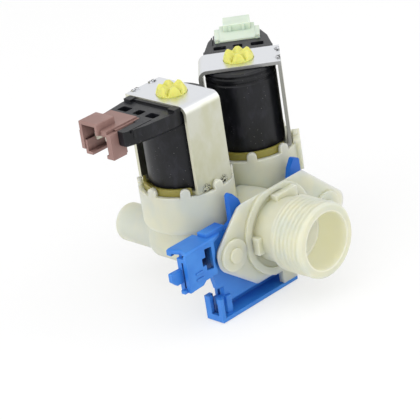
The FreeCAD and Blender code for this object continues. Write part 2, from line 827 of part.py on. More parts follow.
def yoke_base():
    """The plate under the coil, bent up the other side, with tabs clinched through the cap."""
    half = yoke_width / 2
    inner = -yoke_half_length + sheet
    profile = [
        (inner, yoke_bottom_z, 0),
        (yoke_half_length, yoke_bottom_z, base_bend_radius),
        (yoke_half_length, yoke_top_z - sheet, 0),
        (yoke_half_length - sheet, yoke_top_z - sheet, 0),
        (yoke_half_length - sheet, yoke_bottom_z + sheet, base_bend_radius - sheet),
        (inner, yoke_bottom_z + sheet, 0),
    ]
    pieces = [plate_yz(profile, -half, half)]
    for x in stake_positions():
        low, high = x - stake_width / 2, x + stake_width / 2
        pieces.append(block(low, high, yoke_half_length - sheet, yoke_half_length,
                            yoke_top_z - sheet - 0.5, yoke_top_z + stake_rise))
        pieces.append(block(low, high, -yoke_half_length - stake_rise * 0.6, inner + 0.5,
                            yoke_bottom_z, yoke_bottom_z + sheet))
    base = fuse(pieces)
    for x in stake_positions():
        cleft = plate_xz([(x - 0.7, yoke_top_z + stake_rise + 0.5, 0), (x, yoke_top_z + 0.05, 0),
                          (x + 0.7, yoke_top_z + stake_rise + 0.5, 0)],
                         yoke_half_length - sheet - 1, yoke_half_length + 1)
        base = base.cut(cleft)
    return base.cut(rod(tube_hole_radius, yoke_bottom_z - 1, yoke_bottom_z + 3))


def pole_sleeve(low, high):
    """A steel sleeve round the guide tube that carries the field to the plunger."""
    return ring(pole_inner_radius + pole_wall, pole_inner_radius, low, high)


def guide_crown():
    """The notched star on top of the guide tube, which stands out of the yoke."""
    crown = turned([
        (0, yoke_top_z - sheet - 1),
        (tube_radius, yoke_top_z - sheet - 1),
        (tube_radius, yoke_top_z + 0.6),
        (tube_radius - 1.3, crown_top_z),
        (0, crown_top_z),
    ])
    for i in range(crown_lobes):
        angle = 360.0 / crown_lobes * (i + 0.5)
        depth = crown_notch_depth
        notch = plate_xy([(tube_radius - depth, 0, 0.3), (tube_radius + 1.4, -1.7, 0),
                          (tube_radius + 1.4, 1.7, 0)], yoke_top_z + 0.2, crown_top_z + 1)
        crown = crown.cut(around(notch, angle))
        valley = plate_yz([(-1.5, crown_top_z + 0.1, 0), (0, crown_top_z - 1.7, 0.2), (1.5, crown_top_z + 0.1, 0)],
                          crown_dimple_radius - 0.6, tube_radius + 1)
        crown = crown.cut(around(valley, angle))
    dimple = Part.makeCone(crown_dimple_radius * 0.6, crown_dimple_radius, 2.6, V(0, 0, crown_top_z - 2.5))
    return crown.cut(dimple)


def guide_tube():
    """The plastic tube that the plunger slides in, with the flange that clamps the diaphragm."""
    clamp_inner = bead_radius - 3.0
    skirt_low = bead_top_z + 0.1
    shell = turned([
        (tube_bore_radius, guide_flange_top_z - 1.0),
        (guide_cavity_radius, guide_flange_top_z - 1.0),
        (clamp_inner, guide_seat_z - 0.4),
        (clamp_inner, skirt_low),
        (bead_radius, skirt_low),
        (bead_radius, guide_seat_z),
        (guide_flange_radius, guide_seat_z),
        (guide_flange_radius, guide_rim_top_z),
        (guide_flange_radius - guide_rim_wall, guide_rim_top_z),
        (guide_flange_radius - guide_rim_wall, guide_flange_top_z),
        (tube_radius, guide_flange_top_z),
        (tube_radius, yoke_top_z - sheet),
        (0, yoke_top_z - sheet),
        (0, tube_cap_z),
        (tube_bore_radius, tube_cap_z),
    ])
    strip = block(-yoke_width / 2 - 0.3, yoke_width / 2 + 0.3, -20, 20, guide_flange_top_z, guide_rim_top_z + 1)
    keep = rod(tube_radius + 1, guide_flange_top_z - 1, guide_rim_top_z + 2)
    shell = shell.cut(strip.cut(keep))
    boss = rod(1.2, tube_cap_z - 2.0, tube_cap_z + 0.5)
    return fuse([shell, guide_crown(), boss])


def plunger():
    """The steel slug that the coil lifts."""
    slug = turned([
        (0, plunger_bottom_z),
        (plunger_radius - 0.6, plunger_bottom_z),
        (plunger_radius, plunger_bottom_z + 0.8),
        (plunger_radius, plunger_top_z - 0.6),
        (plunger_radius - 0.6, plunger_top_z),
        (0, plunger_top_z),
    ])
    slug = slug.cut(rod(spring_well_radius, plunger_top_z - spring_well_depth, plunger_top_z + 1))
    return slug.cut(rod(seal_radius, plunger_bottom_z - 1, plunger_bottom_z + seal_depth))


def plunger_seal():
    """The rubber plug in the plunger's foot that closes the pilot hole."""
    seal = rod(seal_radius, plunger_bottom_z - seal_drop, plunger_bottom_z + seal_depth)
    lower = [e for e in seal.Edges if e.CenterOfMass.z < plunger_bottom_z - seal_drop + 0.1]
    return seal.makeChamfer(0.3, lower)


def plunger_spring():
    """The light spring that pushes the plunger down on its pilot hole."""
    low = plunger_top_z - spring_well_depth + spring_wire
    high = tube_cap_z - spring_wire
    pitch = (high - low) / spring_turns
    helix = Part.makeHelix(pitch, high - low, spring_radius)
    start = helix.Edges[0].valueAt(helix.Edges[0].FirstParameter)
    tangent = helix.Edges[0].tangentAt(helix.Edges[0].FirstParameter)
    section = Part.Wire(Part.makeCircle(spring_wire, start, tangent))
    spring = Part.Wire(helix.Edges).makePipeShell([section], True, True)
    return spring.translated(V(0, 0, low))


def diaphragm():
    """The rubber disc that shuts the main seat, thickened to a bead at its edge."""
    bead_inner = bead_radius - bead_width
    top = membrane_z + membrane_thickness
    return turned([
        (insert_radius - 1.6, membrane_z),
        (bead_inner, membrane_z),
        (bead_inner, bead_seat_z),
        (bead_radius, bead_seat_z),
        (bead_radius, bead_top_z),
        (bead_inner, bead_top_z),
        (bead_inner, top),
        (membrane_ridge_radius + 0.6, top),
        (membrane_ridge_radius, top + 0.5),
        (membrane_ridge_radius - 0.6, top),
        (insert_radius - 1.6, top),
    ])


def diaphragm_insert():
    """The stiff centre of the diaphragm, with the pilot hole and a bleed hole."""
    insert = turned([
        (pilot_bore_radius, insert_bottom_z),
        (insert_radius, insert_bottom_z),
        (insert_radius, membrane_z - 0.05),
        (insert_radius - 1.7, membrane_z - 0.05),
        (insert_radius - 1.7, membrane_z + membrane_thickness + 0.05),
        (insert_radius, membrane_z + membrane_thickness + 0.05),
        (insert_radius, insert_top_z + 0.6),
        (insert_radius - 0.6, insert_top_z + 0.6),
        (pilot_radius + 0.8, insert_top_z + 0.6),
        (pilot_radius, pilot_top_z),
        (pilot_bore_radius, pilot_top_z),
    ])
    return insert.cut(rod(0.35, insert_bottom_z - 1, pilot_top_z + 1, insert_radius - 2.6, 0))


# Mounting bracket

def bracket_plate():
    """The plate behind the flange, cut to clear the inlet's duct."""
    plate = plate_xz([
        (plate_left_x, clip_bottom_z + 0.4, 1.0),
        (plate_left_x + 1.2, -11.2, 0.3),
        (plate_left_x + 1.2, rail_lip_z, 0.3),
        (rail_right_x, rail_lip_z, 0.3),
        (14.5, -10.0, 3.0),
        (prong_outer_x, 0.0, 3.0),
        (prong_outer_x, plate_top_z, 0.5),
        (-prong_outer_x, plate_top_z, 0.5),
        (-24.0, clip_top_z - clip_wall, 2.0),
        (plate_left_x, clip_top_z - clip_wall, 1.0),
    ], plate_front_y, plate_back_y)
    left_prong = plate_xz([
        (-prong_inner_x + 3, plate_top_z - 4, 0), (-prong_outer_x, plate_top_z - 4, 0),
        (-prong_outer_x + 0.3, prong_top_z - 1, 0.8), (-prong_outer_x + 1.6, prong_top_z, 1.0),
        (-prong_inner_x - 0.6, prong_top_z - 3.4, 1.5),
    ], plate_front_y, plate_back_y)
    right_prong = plate_xz([
        (prong_inner_x - 3, plate_top_z - 4, 0), (prong_outer_x, plate_top_z - 4, 0),
        (prong_outer_x - 0.3, prong_top_z - 1, 0.8), (prong_outer_x - 2.8, prong_top_z, 1.0),
        (prong_inner_x + 0.2, prong_top_z - 3.2, 1.5),
    ], plate_front_y, plate_back_y)
    plate = fuse([plate, left_prong, right_prong])
    plate = plate.cut(rod_y(duct_radius + plate_hole_clearance, plate_front_y - 1, plate_back_y + 1))
    notch = block(plate_left_x - 1, plate_left_x + 3.8, plate_front_y - 1, plate_back_y + 1, -14.8, -11.2)
    return plate.cut(notch)


def bracket_rail():
    """The channel along the bottom that slides over the panel's edge, and its slotted end wall."""
    x0, x1 = rail_left_x, rail_right_x
    floor = block(x0, x1, rail_front_y, rail_back_y, rail_bottom_z, rail_bottom_z + rail_wall)
    back = block(x0 + 3.7, x1, rail_back_y - rail_wall, rail_back_y, rail_bottom_z, rail_lip_z + rail_wall)
    lip = block(x0 + 6.6, x1, plate_front_y, rail_back_y, rail_lip_z, rail_lip_z + rail_wall)
    end_wall = block(x0, x0 + rail_wall, rail_front_y, rail_back_y, rail_bottom_z, -14.0)
    end_post = block(x0, x0 + 2.6, rail_back_y - 1.5, rail_back_y, rail_bottom_z, -14.0)
    cheek = block(x0, x0 + 6.6, rail_front_y, plate_back_y - 0.6, rail_bottom_z, -14.9)
    cheek = cheek.cut(block(x0 + rail_wall, x0 + 8, rail_front_y - 1, rail_front_y + 1.6,
                            rail_bottom_z - 1, -14.0))
    guide_wall = block(guide_wall_left_x, guide_wall_right_x, rail_back_y - rail_wall, rail_back_y,
                       rail_bottom_z, guide_wall_top_z)
    guide_rib = block(guide_wall_right_x - rail_wall, guide_wall_right_x, plate_back_y - 0.5, rail_back_y,
                      rail_lip_z, guide_wall_top_z)
    top_rib = block(guide_wall_left_x, guide_wall_right_x, plate_back_y - 0.5, rail_back_y,
                    guide_wall_top_z - rail_wall, guide_wall_top_z)
    rail = fuse([floor, back, lip, end_wall, end_post, cheek, guide_wall, guide_rib, top_rib])
    slot = block(x0 - 1, x0 + rail_wall + 0.01, rail_front_y + 1.9, rail_back_y - 2.6, -20.4, -13.0)
    rail = rail.cut(slot)
    room = block(x0 + rail_wall, x0 + 4.2, rail_front_y + 1.6, rail_back_y - 1.5, rail_bottom_z + rail_wall, -13.0)
    rail = rail.cut(room)
    for left, right in ((-20.6, -18.2), (-11.4, -6.0)):
        rail = rail.cut(block(left, right, plate_front_y - 1, plate_front_y + 1.6,
                              rail_lip_z - 1, rail_lip_z + 1.0))
    tongue_gap = 0.3
    tongue_room = block(-0.4 - tongue_gap, x1 + 1, -1, tongue_thickness + tongue_gap,
                        flange_bottom_z - tongue_depth - tongue_gap, 0)
    return rail.cut(tongue_room)


def clip_face():
    """The clip's front wall, with the window that its sprung pin shows through."""
    left, right = clip_left_x, clip_right_x
    front, back = clip_front_y, clip_front_y + clip_wall
    face = plate_xz([
        (left, clip_bottom_z, 0.4), (left + 6.2, clip_bottom_z + 0.3, 0.3), (left + 7.6, -4.6, 0.5), (right, -4.4, 0.3),
        (right, clip_top_z - 0.4, 0.5), (left + 4.9, clip_top_z - 0.6, 1.5), (left, clip_top_z - 1.2, 1.0),
    ], front, back)
    window = plate_xz([
        (window_left_x, window_bottom_z + 0.6, 0.3), (window_right_x, window_bottom_z, 0.3),
        (window_right_x, window_top_z, 0.3), (window_left_x, window_top_z + 0.3, 0.3),
    ], front - 1, back + 1)
    notch = block(window_left_x - window_notch_depth, window_left_x + 1, front - 1, back + 1, 0.7, 3.5)
    ridges = []
    for z in (-0.8, -3.0):
        ridge = block(left + 3.4, left + 6.6, front - 0.35, front + 0.2, z, z + 0.6)
        ridges.append(ridge)
    return fuse([face] + ridges).cut(window).cut(notch)


def clip_roof():
    """The clip's top, with the hook at its left end and the step at its right one."""
    left = clip_left_x
    roof = plate_xy([
        (left, clip_front_y, 0.4), (clip_right_x, clip_front_y, 0.4), (clip_step_right_x, plate_front_y + 0.5, 1.0),
        (clip_step_right_x, 7.2, 1.0), (clip_step_left_x + 1.0, 7.2, 0.5), (clip_step_left_x + 0.6, clip_back_y, 0.6),
        (left, clip_back_y, 0.8), (left, 7.6, 0.5), (left + 1.3, 4.4, 0.5),
    ], clip_top_z - clip_wall, clip_top_z)
    front_edges = [e for e in roof.Edges if e.CenterOfMass.z > clip_top_z - 0.1
                   and e.BoundBox.YMax < clip_front_y + 0.01]
    roof = roof.makeFillet(0.9, front_edges)
    step = block(clip_step_left_x, clip_step_right_x, plate_front_y, 7.2, clip_top_z - 0.5,
                 clip_top_z + clip_step_rise)
    step_edges = [e for e in step.Edges if e.CenterOfMass.z > clip_top_z + clip_step_rise - 0.1]
    step = step.makeFillet(0.4, step_edges)
    hook = block(left, left + 1.3, clip_back_y - 2.4, clip_back_y - 0.3, clip_top_z - hook_depth, clip_top_z - 0.5)
    return fuse([roof, step, hook])


def bracket_clip():
    """The sprung box at the left that snaps into the panel's cut-out."""
    left, right = clip_left_x, clip_right_x
    front, wall = clip_front_y, clip_wall
    side_back = front + 4.3
    inner_x = window_right_x + 0.2
    side = block(left, left + wall, front, side_back, clip_bottom_z, clip_top_z - 2.2)
    groove = block(left - 1, left + 0.5, front + 1.6, front + 2.4, clip_bottom_z + 1.5, clip_top_z - 3.6)
    inner_wall = block(inner_x, right - 0.2, front + 0.5, clip_back_y - wall, -4.4, clip_top_z - 0.5)
    bridge = block(inner_x, -23.5, plate_front_y, plate_back_y, clip_bottom_z + 0.4, clip_top_z - 0.5)
    back_wall = block(left + wall - 0.2, window_left_x - 1.8, side_back - wall, side_back,
                      clip_bottom_z + 2, clip_top_z - wall + 0.2)
    room_wall = block(window_left_x - 1.8 - wall, window_left_x - 1.8, side_back - wall, clip_back_y - 0.4,
                      clip_bottom_z + 2, clip_top_z - wall + 0.2)
    room_back = block(window_left_x - 1.8 - wall, right - 0.2, clip_back_y - 0.4 - wall, clip_back_y - 0.4,
                      -4.4, clip_top_z - wall + 0.2)
    stub = plate_xz([(left - stub_reach, -0.6, 0.4), (left - stub_reach + 1.8, -2.4, 0.4), (left + 1, -2.4, 0),
                     (left + 1, 2.2, 0), (left - stub_reach, 2.4, 0.5)], front + 2.6, side_back)
    foot = block(left - 1.5, left + 2, front + 1.2, front + 2.9, clip_bottom_z, clip_bottom_z + 1.2)
    pin = rod_x(0.9, window_left_x - 2.4, window_left_x + 1.2, front + 3.6, 2.2)
    clip = fuse([clip_face(), clip_roof(), side, inner_wall, bridge, back_wall, room_wall, room_back,
                 stub, foot, pin])
    return clip.cut(groove)


def mounting_bracket():
    """One blue moulding: plate, rail and clip."""
    bracket = fuse([bracket_plate(), bracket_rail(), bracket_clip()])
    return bracket.cut(flange_outline(-1, plate_front_y - 0.001, 0.25))


# Assembly

def solenoid(side):
    """Every piece of one solenoid valve, at its place."""
    socket = socket_of(side)
    pieces = {
        "coil": coil_overmould(socket),
        "bobbin": bobbin(),
        "winding": winding(),
        "terminals": Part.makeCompound(terminal_blades(socket)),
        "connector": connector_housing(socket),
        "yoke_cap": yoke_cap(),
        "yoke_base": yoke_base(),
        "lower_pole": pole_sleeve(yoke_bottom_z + sheet, lower_pole_top_z),
        "upper_pole": pole_sleeve(upper_pole_bottom_z, yoke_top_z - sheet),
        "guide_tube": guide_tube(),
        "plunger": plunger(),
        "plunger_seal": plunger_seal(),
        "plunger_spring": plunger_spring(),
        "diaphragm": diaphragm(),
        "diaphragm_insert": diaphragm_insert(),
    }
    return {side + "_" + name: placed(shape, side) for name, shape in pieces.items()}


def assembly():
    """Every piece of the valve by its name."""
    pieces = {
        "valve_body": valve_body(),
        "mounting_bracket": mounting_bracket(),
        "inlet_strainer": inlet_strainer(),
        "flow_regulator": flow_regulator(),
        "regulator_carrier": regulator_carrier(),
    }
    for side in ("left", "right"):
        pieces.update(solenoid(side))
    return pieces


def main():
    os.makedirs("parts", exist_ok=True)
    for name, shape in assembly().items():
        shape.exportStep("parts/" + name + ".step")
        box = shape.BoundBox
        print(name, len(shape.Solids), "solid,", "valid" if shape.isValid() else "NOT VALID",
              "volume %.0f" % shape.Volume, "x %.1f %.1f y %.1f %.1f z %.1f %.1f" % (
                  box.XMin, box.XMax, box.YMin, box.YMax, box.ZMin, box.ZMax))


main()
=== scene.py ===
# %% [markdown]
# A washing machine's inlet valve
#
# The machine takes its water through this part. A hose screws onto the big thread, the water waits behind
# two rubber diaphragms, and each black coil lifts a small steel plunger to let it through to a hose behind.
#
# The measured model comes in as a fixed frame, in metres, with the origin on the inlet's axis at the
# flange's front face. Nothing in it is moved. This lesson dresses it: it gives each piece its finish,
# winds the real thread round the inlet, puts copies of the two springs in place, rounds the yellow crowns,
# and sets up a plain studio.

# %% Load the frame
import json
import math

import bmesh
import bpy
from mathutils import Matrix, Vector

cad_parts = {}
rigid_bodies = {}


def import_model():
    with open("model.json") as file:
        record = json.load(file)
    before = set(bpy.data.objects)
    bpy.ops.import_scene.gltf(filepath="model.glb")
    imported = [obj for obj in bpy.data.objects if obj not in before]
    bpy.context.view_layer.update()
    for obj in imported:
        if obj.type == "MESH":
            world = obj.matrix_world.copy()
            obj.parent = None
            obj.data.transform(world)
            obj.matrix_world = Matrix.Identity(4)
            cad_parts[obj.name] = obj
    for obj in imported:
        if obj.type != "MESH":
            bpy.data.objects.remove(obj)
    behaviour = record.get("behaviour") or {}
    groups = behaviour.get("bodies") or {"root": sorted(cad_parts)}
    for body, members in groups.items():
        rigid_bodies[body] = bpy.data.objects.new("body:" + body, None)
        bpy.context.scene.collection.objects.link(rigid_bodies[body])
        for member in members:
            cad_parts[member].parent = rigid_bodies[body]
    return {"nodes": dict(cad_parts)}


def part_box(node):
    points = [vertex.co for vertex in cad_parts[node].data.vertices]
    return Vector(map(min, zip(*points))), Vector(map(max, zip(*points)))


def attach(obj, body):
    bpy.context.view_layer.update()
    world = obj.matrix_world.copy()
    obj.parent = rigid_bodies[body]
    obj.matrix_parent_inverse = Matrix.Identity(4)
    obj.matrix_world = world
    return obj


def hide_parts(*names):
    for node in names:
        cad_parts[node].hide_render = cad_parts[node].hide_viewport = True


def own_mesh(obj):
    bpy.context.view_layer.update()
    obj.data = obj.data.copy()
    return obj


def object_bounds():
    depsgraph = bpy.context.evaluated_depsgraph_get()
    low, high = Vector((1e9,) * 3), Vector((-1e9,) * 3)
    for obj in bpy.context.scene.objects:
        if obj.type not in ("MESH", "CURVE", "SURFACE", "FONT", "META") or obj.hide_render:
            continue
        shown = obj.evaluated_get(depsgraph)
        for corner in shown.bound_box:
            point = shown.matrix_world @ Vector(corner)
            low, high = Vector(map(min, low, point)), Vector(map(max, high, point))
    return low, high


MM = 0.001
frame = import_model()
cad_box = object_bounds()
nodes = frame["nodes"]

# %% [markdown]
# The camera
#
# The camera comes first, because every comparison with the photograph depends on it. It stands to the left
# and a little above, well back with a long lens, and it is rolled a little, so that the valve leans to the
# left in the picture. Three directions make its rotation: its right, its up and its back.

# %% Set up the camera
CAMERA_AZIMUTH = math.radians(-41.92)
CAMERA_ELEVATION = math.radians(24.33)
CAMERA_ROLL = math.radians(9.0)
CAMERA_AIM = Vector((-6.27, 25.62, 3.62)) * MM
CAMERA_DISTANCE = 754.5 * MM
CAMERA_LENS = 187.47
SENSOR_WIDTH = 36.0


def camera_axes(azimuth, elevation, roll):
    """The camera's right, up and back directions."""
    back = Vector((
        math.sin(azimuth) * math.cos(elevation),
        -math.cos(azimuth) * math.cos(elevation),
        math.sin(elevation),
    ))
    level = Vector((math.cos(azimuth), math.sin(azimuth), 0.0))
    upright = back.cross(level)
    right = level * math.cos(roll) - upright * math.sin(roll)
    up = level * math.sin(roll) + upright * math.cos(roll)
    return right, up, back


def add_object(name, data):
    """Puts a mesh, a camera or a lamp into the scene as an object."""
    thing = bpy.data.objects.new(name, data)
    bpy.context.scene.collection.objects.link(thing)
    return thing


right, up, back = camera_axes(CAMERA_AZIMUTH, CAMERA_ELEVATION, CAMERA_ROLL)
camera_data = bpy.data.cameras.new("studio_camera")
camera_data.lens = CAMERA_LENS
camera_data.sensor_width = SENSOR_WIDTH
camera_data.clip_start = 0.05
camera_data.clip_end = 20.0
camera = add_object("studio_camera", camera_data)
rotation = Matrix((right, up, back)).transposed()
camera.matrix_world = Matrix.Translation(CAMERA_AIM + back * CAMERA_DISTANCE) @ rotation.to_4x4()
bpy.context.scene.camera = camera
print("the camera stands at", [round(x, 3) for x in camera.matrix_world.translation])

# %% [markdown]
# Colours
#
# A colour that is read off a screen is not the number that a shader wants. The screen's curve is undone
# first, so each colour below is written as it looks and turned into the linear value that Blender uses.
# Brightnesses that are already linear, such as those of the studio's floor, are written as a grey.

# %% Helpers for colours


def screen_colour(red, green, blue):
    """A colour written as it looks on a screen, 0 to 255, as the linear RGBA that a shader takes."""
    def linear(value):
        """Undoes the standard curve of a screen."""
        share = value / 255
        if share <= 0.04045:
            return share / 12.92
        return ((share + 0.055) / 1.055) ** 2.4
    return (linear(red), linear(green), linear(blue), 1.0)


def grey(brightness):
    """A linear grey."""
    return (brightness, brightness, brightness, 1.0)


print("mid grey is", [round(x, 3) for x in screen_colour(128, 128, 128)[:3]])

# %% [markdown]
# Writing materials as sums
#
# A procedural material is a small graph of nodes, and a graph is hard to read as code. Here one class wraps
# an output socket and lets Python's own signs add the Math nodes, so that a mask can be written as
# `1 - speckle * 0.5`. A second class holds the graph and has one method for every other node.

# %% A socket that can be added and multiplied


class Wire:
    """An output socket in a graph, with arithmetic."""

    def __init__(self, graph, socket):
        self.graph = graph
        self.socket = socket

    def combine(self, operation, first, second):
        """Adds one Math node."""
        return self.graph.node("ShaderNodeMath", {"operation": operation}, {0: first, 1: second})

    def __add__(self, other):
        return self.combine("ADD", self, other)

    def __radd__(self, other):
        return self.combine("ADD", other, self)

    def __sub__(self, other):
        return self.combine("SUBTRACT", self, other)

    def __rsub__(self, other):
        return self.combine("SUBTRACT", other, self)

    def __mul__(self, other):
        return self.combine("MULTIPLY", self, other)

    def __rmul__(self, other):
        return self.combine("MULTIPLY", other, self)

    def __lt__(self, other):
        return self.combine("LESS_THAN", self, other)


# %% A graph, and a material that is one


class Graph:
    """A tree of nodes under construction."""

    def __init__(self, tree):
        self.tree = tree

    def plug(self, socket, value):
        """Gives an input socket a value or a link."""
        if isinstance(value, Wire):
            self.tree.links.new(value.socket, socket)
        else:
            socket.default_value = value

    def node(self, kind, settings=None, sockets=None, output=0):
        """Adds a node. Its settings are set first, then the values or links of its sockets."""
        new = self.tree.nodes.new(kind)
        for key, value in (settings or {}).items():
            setattr(new, key, value)
        for key, value in (sockets or {}).items():
            self.plug(new.inputs[key], value)
        return Wire(self, new.outputs[output])


class Finish(Graph):
    """One material under construction, with its Principled shader."""

    def __init__(self, name):
        self.material = bpy.data.materials.new(name)
        self.material.use_nodes = True
        super().__init__(self.material.node_tree)
        self.tree.nodes.clear()
        surface = self.tree.nodes.new("ShaderNodeOutputMaterial").inputs["Surface"]
        self.shader = self.tree.nodes.new("ShaderNodeBsdfPrincipled")
        self.tree.links.new(self.shader.outputs[0], surface)

    def set(self, **sockets):
        """Sets the shader's own sockets, with a space written as an underscore."""
        for key, value in sockets.items():
            self.plug(self.shader.inputs[key.replace("_", " ")], value)


def wear(piece, finish):
    """Gives a piece one finish all over."""
    piece.data.materials.clear()
    piece.data.materials.append(finish.material)


# %% [markdown]
# Patterns that sit still on the object
#
# Real wear and grain are fixed to a piece. A painted picture would have to be unwrapped onto every one of
# them, so each pattern below starts from the point's own place in the frame instead. Clouds are noise, a
# ramp turns a number into a soft mask, and a mask blends two colours.

# %% Where a point is, and clouds round it


def place(finish):
    """Where a point of the piece is, in metres, in the frame that all pieces share."""
    return finish.node("ShaderNodeTexCoord", output="Object")


def coordinate(finish, letter):
    """One coordinate of the point, in millimetres."""
    return finish.node("ShaderNodeSeparateXYZ", {}, {0: place(finish)}, output=letter) * (1 / MM)


def noise(finish, scale_mm, detail=3.0, stretch=(1, 1, 1), roughness=0.5):
    """Soft clouds, each about scale_mm across, stretched by a factor along each axis."""
    squeeze = [1 / factor for factor in stretch]
    squeezed = finish.node("ShaderNodeMapping", {}, {"Vector": place(finish), "Scale": squeeze})
    sockets = {
        "Vector": squeezed, "Scale": 1 / (scale_mm * MM), "Detail": detail, "Roughness": roughness,
    }
    return finish.node("ShaderNodeTexNoise", {}, sockets)


# %% Masks, and colours between colours
MIX_SHARE, MIX_FIRST, MIX_SECOND = 0, 6, 7
MIXED_COLOUR = 2


def ramp(value, low, high):
    """A value that climbs smoothly from 0 at low to 1 at high."""
    sockets = {"Value": value, "From Min": low, "From Max": high}
    return value.graph.node("ShaderNodeMapRange", {"interpolation_type": "SMOOTHSTEP"}, sockets)


def blend(share, first, second):
    """A colour between two colours."""
    sockets = {MIX_SHARE: share, MIX_FIRST: first, MIX_SECOND: second}
    return share.graph.node("ShaderNodeMix", {"data_type": "RGBA"}, sockets, output=MIXED_COLOUR)


# %% Corners, edges and relief
CORNER_SAMPLES = 8
EDGE_SAMPLES = 6


def crevice(finish, reach_mm, closed=0.25, open_sky=0.95):
    """1 in a corner or under an edge of the same piece, 0 in the open."""
    settings = {"samples": CORNER_SAMPLES, "only_local": True}
    sockets = {"Distance": reach_mm * MM}
    sky = finish.node("ShaderNodeAmbientOcclusion", settings, sockets, output="AO")
    return 1 - ramp(sky, closed, open_sky)


def relief(finish, height, depth_mm, edge_mm=0.2):
    """A surface direction with soft edges on every corner and a low relief on top."""
    soft_edge = finish.node("ShaderNodeBevel", {"samples": EDGE_SAMPLES}, {"Radius": edge_mm * MM})
    sockets = {"Strength": 1.0, "Distance": depth_mm * MM, "Height": height, "Normal": soft_edge}
    return finish.node("ShaderNodeBump", {}, sockets)


print("a corner is felt with", CORNER_SAMPLES, "rays and an edge with", EDGE_SAMPLES)

# %% [markdown]
# Natural nylon
#
# The body is moulded in undyed nylon. It is milky: light goes a few millimetres in and comes out again,
# so edges look soft and the thread nearly melts away. Subsurface scattering does that. Corners get painted
# shade: a darker, warmer colour, which follows how closed in a place is. The bore gets a paler colour and
# a very faint glow, more so away from its mouth: painted light that stands in for daylight through the
# walls, which a closed shell doesn't let through by itself.

# %% The nylon of the body
NYLON = screen_colour(212, 211, 189)
NYLON_COOL = screen_colour(201, 205, 193)
NYLON_PAINTED_SHADE = screen_colour(198, 197, 166)
NYLON_BORE_PAINTED_LIGHT = screen_colour(222, 221, 200)
NYLON_BORE_PAINTED_GLOW = screen_colour(92, 92, 84)
NYLON_SCATTER = (1.0, 0.94, 0.72)
NYLON_SCATTER_MM = 7.0
NYLON_ROUGHNESS = 0.42
NYLON_GRAIN_ROUGHNESS = 0.12
SWIRL_SHARE = 0.25
PAINTED_SHADE_SHARE = 0.45
MOUTH_Y = cad_box[0].y / MM
FULL_PAINTED_GLOW_Y = -8.0
INLET_BORE_END_Y = 2.0
INLET_BORE_REACH = 10.6


def from_inlet_axis(finish):
    """How far a point is from the inlet's axis, in millimetres."""
    across = finish.node(
        "ShaderNodeVectorMath", {"operation": "MULTIPLY"}, {0: place(finish), 1: (1 / MM, 0, 1 / MM)}
    )
    return finish.node("ShaderNodeVectorMath", {"operation": "LENGTH"}, {0: across}, output="Value")


def nylon_finish():
    """The body's finish: plain and cooler nylon in clouds, painted shade in the corners, and painted light
    in the bore.
    """
    finish = Finish("natural_nylon")
    cloud = noise(finish, scale_mm=14.0, detail=2.0)
    swirl = noise(finish, scale_mm=2.4, detail=3.0, stretch=(1, 1, 2.5))
    grain = noise(finish, scale_mm=0.35, detail=2.0)
    outside = blend(ramp(cloud + swirl * SWIRL_SHARE, low=0.45, high=0.8), NYLON, NYLON_COOL)
    # Corners and closed-in places get painted shade, a darker and warmer nylon.
    outside = blend(crevice(finish, reach_mm=6.0) * PAINTED_SHADE_SHARE, outside, NYLON_PAINTED_SHADE)
    # In the bore, a paler colour and a faint glow are painted light for daylight through the walls.
    along = coordinate(finish, "Y")
    in_bore = (from_inlet_axis(finish) < INLET_BORE_REACH) * (along < INLET_BORE_END_Y)
    deep = ramp(along, low=MOUTH_Y, high=FULL_PAINTED_GLOW_Y)
    finish.set(
        Base_Color=blend(in_bore, outside, NYLON_BORE_PAINTED_LIGHT),
        Emission_Color=blend(in_bore * deep, grey(0.0), NYLON_BORE_PAINTED_GLOW),
        Emission_Strength=1.0,
        Roughness=NYLON_ROUGHNESS + grain * NYLON_GRAIN_ROUGHNESS,
        Normal=relief(finish, grain, depth_mm=0.012, edge_mm=0.35),
        IOR=1.53,
        Subsurface_Weight=1.0,
        Subsurface_Radius=NYLON_SCATTER,
        Subsurface_Scale=NYLON_SCATTER_MM * MM,
    )
    return finish


nylon = nylon_finish()
print(nylon.material.name, "has", len(nylon.tree.nodes), "nodes")

# %% [markdown]
# Winding the thread
#
# The frame's inlet has plain rings at the thread's pitch. The real one is a pipe thread of 14 turns to the
# inch, moulded shallow, with rounded crests and roots. A thread is one profile that moves along by a pitch
# for every turn round the axis, so it needs no screw operation: the surface's radius is a function of the
# angle and the distance along the axis. The rings are taken out of a copy of the body, and the threaded
# surface is bridged to the two circles that stay open.

# %% The thread's profile, in millimetres
THREAD_PITCH = 25.4 / 14
THREAD_DEPTH = 0.32
THREAD_CREST = 13.2
THREAD_END_Y = -8.0
THREAD_RUN_IN = 1.6
ROOT_SHARE = 0.12
FLANK_SHARE = 0.7
MOUTH_RADIUS = 12.4
NECK_RADIUS = 11.5
SHOULDER_RISE = 1.7
SHOULDER_LENGTH = 0.8


def soft_step(share):
    """A climb from 0 to 1 that starts and ends level, which rounds the thread's root and crest."""
    return share * share * (3 - 2 * share)


def thread_radius(angle, y):
    """The radius of the threaded surface, at an angle round the axis and a place along it."""
    turns = (y - THREAD_PITCH * angle / (2 * math.pi)) / THREAD_PITCH
    share = abs(turns - math.floor(turns) - 0.5) * 2
    ridge = min(1.0, max(0.0, (share - ROOT_SHARE) / FLANK_SHARE))
    ridge = soft_step(ridge)
    fade = min(1.0, (y - MOUTH_Y) / THREAD_RUN_IN, (THREAD_END_Y - y) / THREAD_RUN_IN)
    cut = THREAD_DEPTH * (1 - ridge) * max(0.0, fade)
    mouth_chamfer = MOUTH_RADIUS + (y - MOUTH_Y)
    shoulder = NECK_RADIUS + (THREAD_END_Y - y) * SHOULDER_RISE / SHOULDER_LENGTH
    return min(THREAD_CREST - cut, mouth_chamfer, shoulder)


print("the thread's root has a radius of", round(THREAD_CREST - THREAD_DEPTH, 3), "mm")

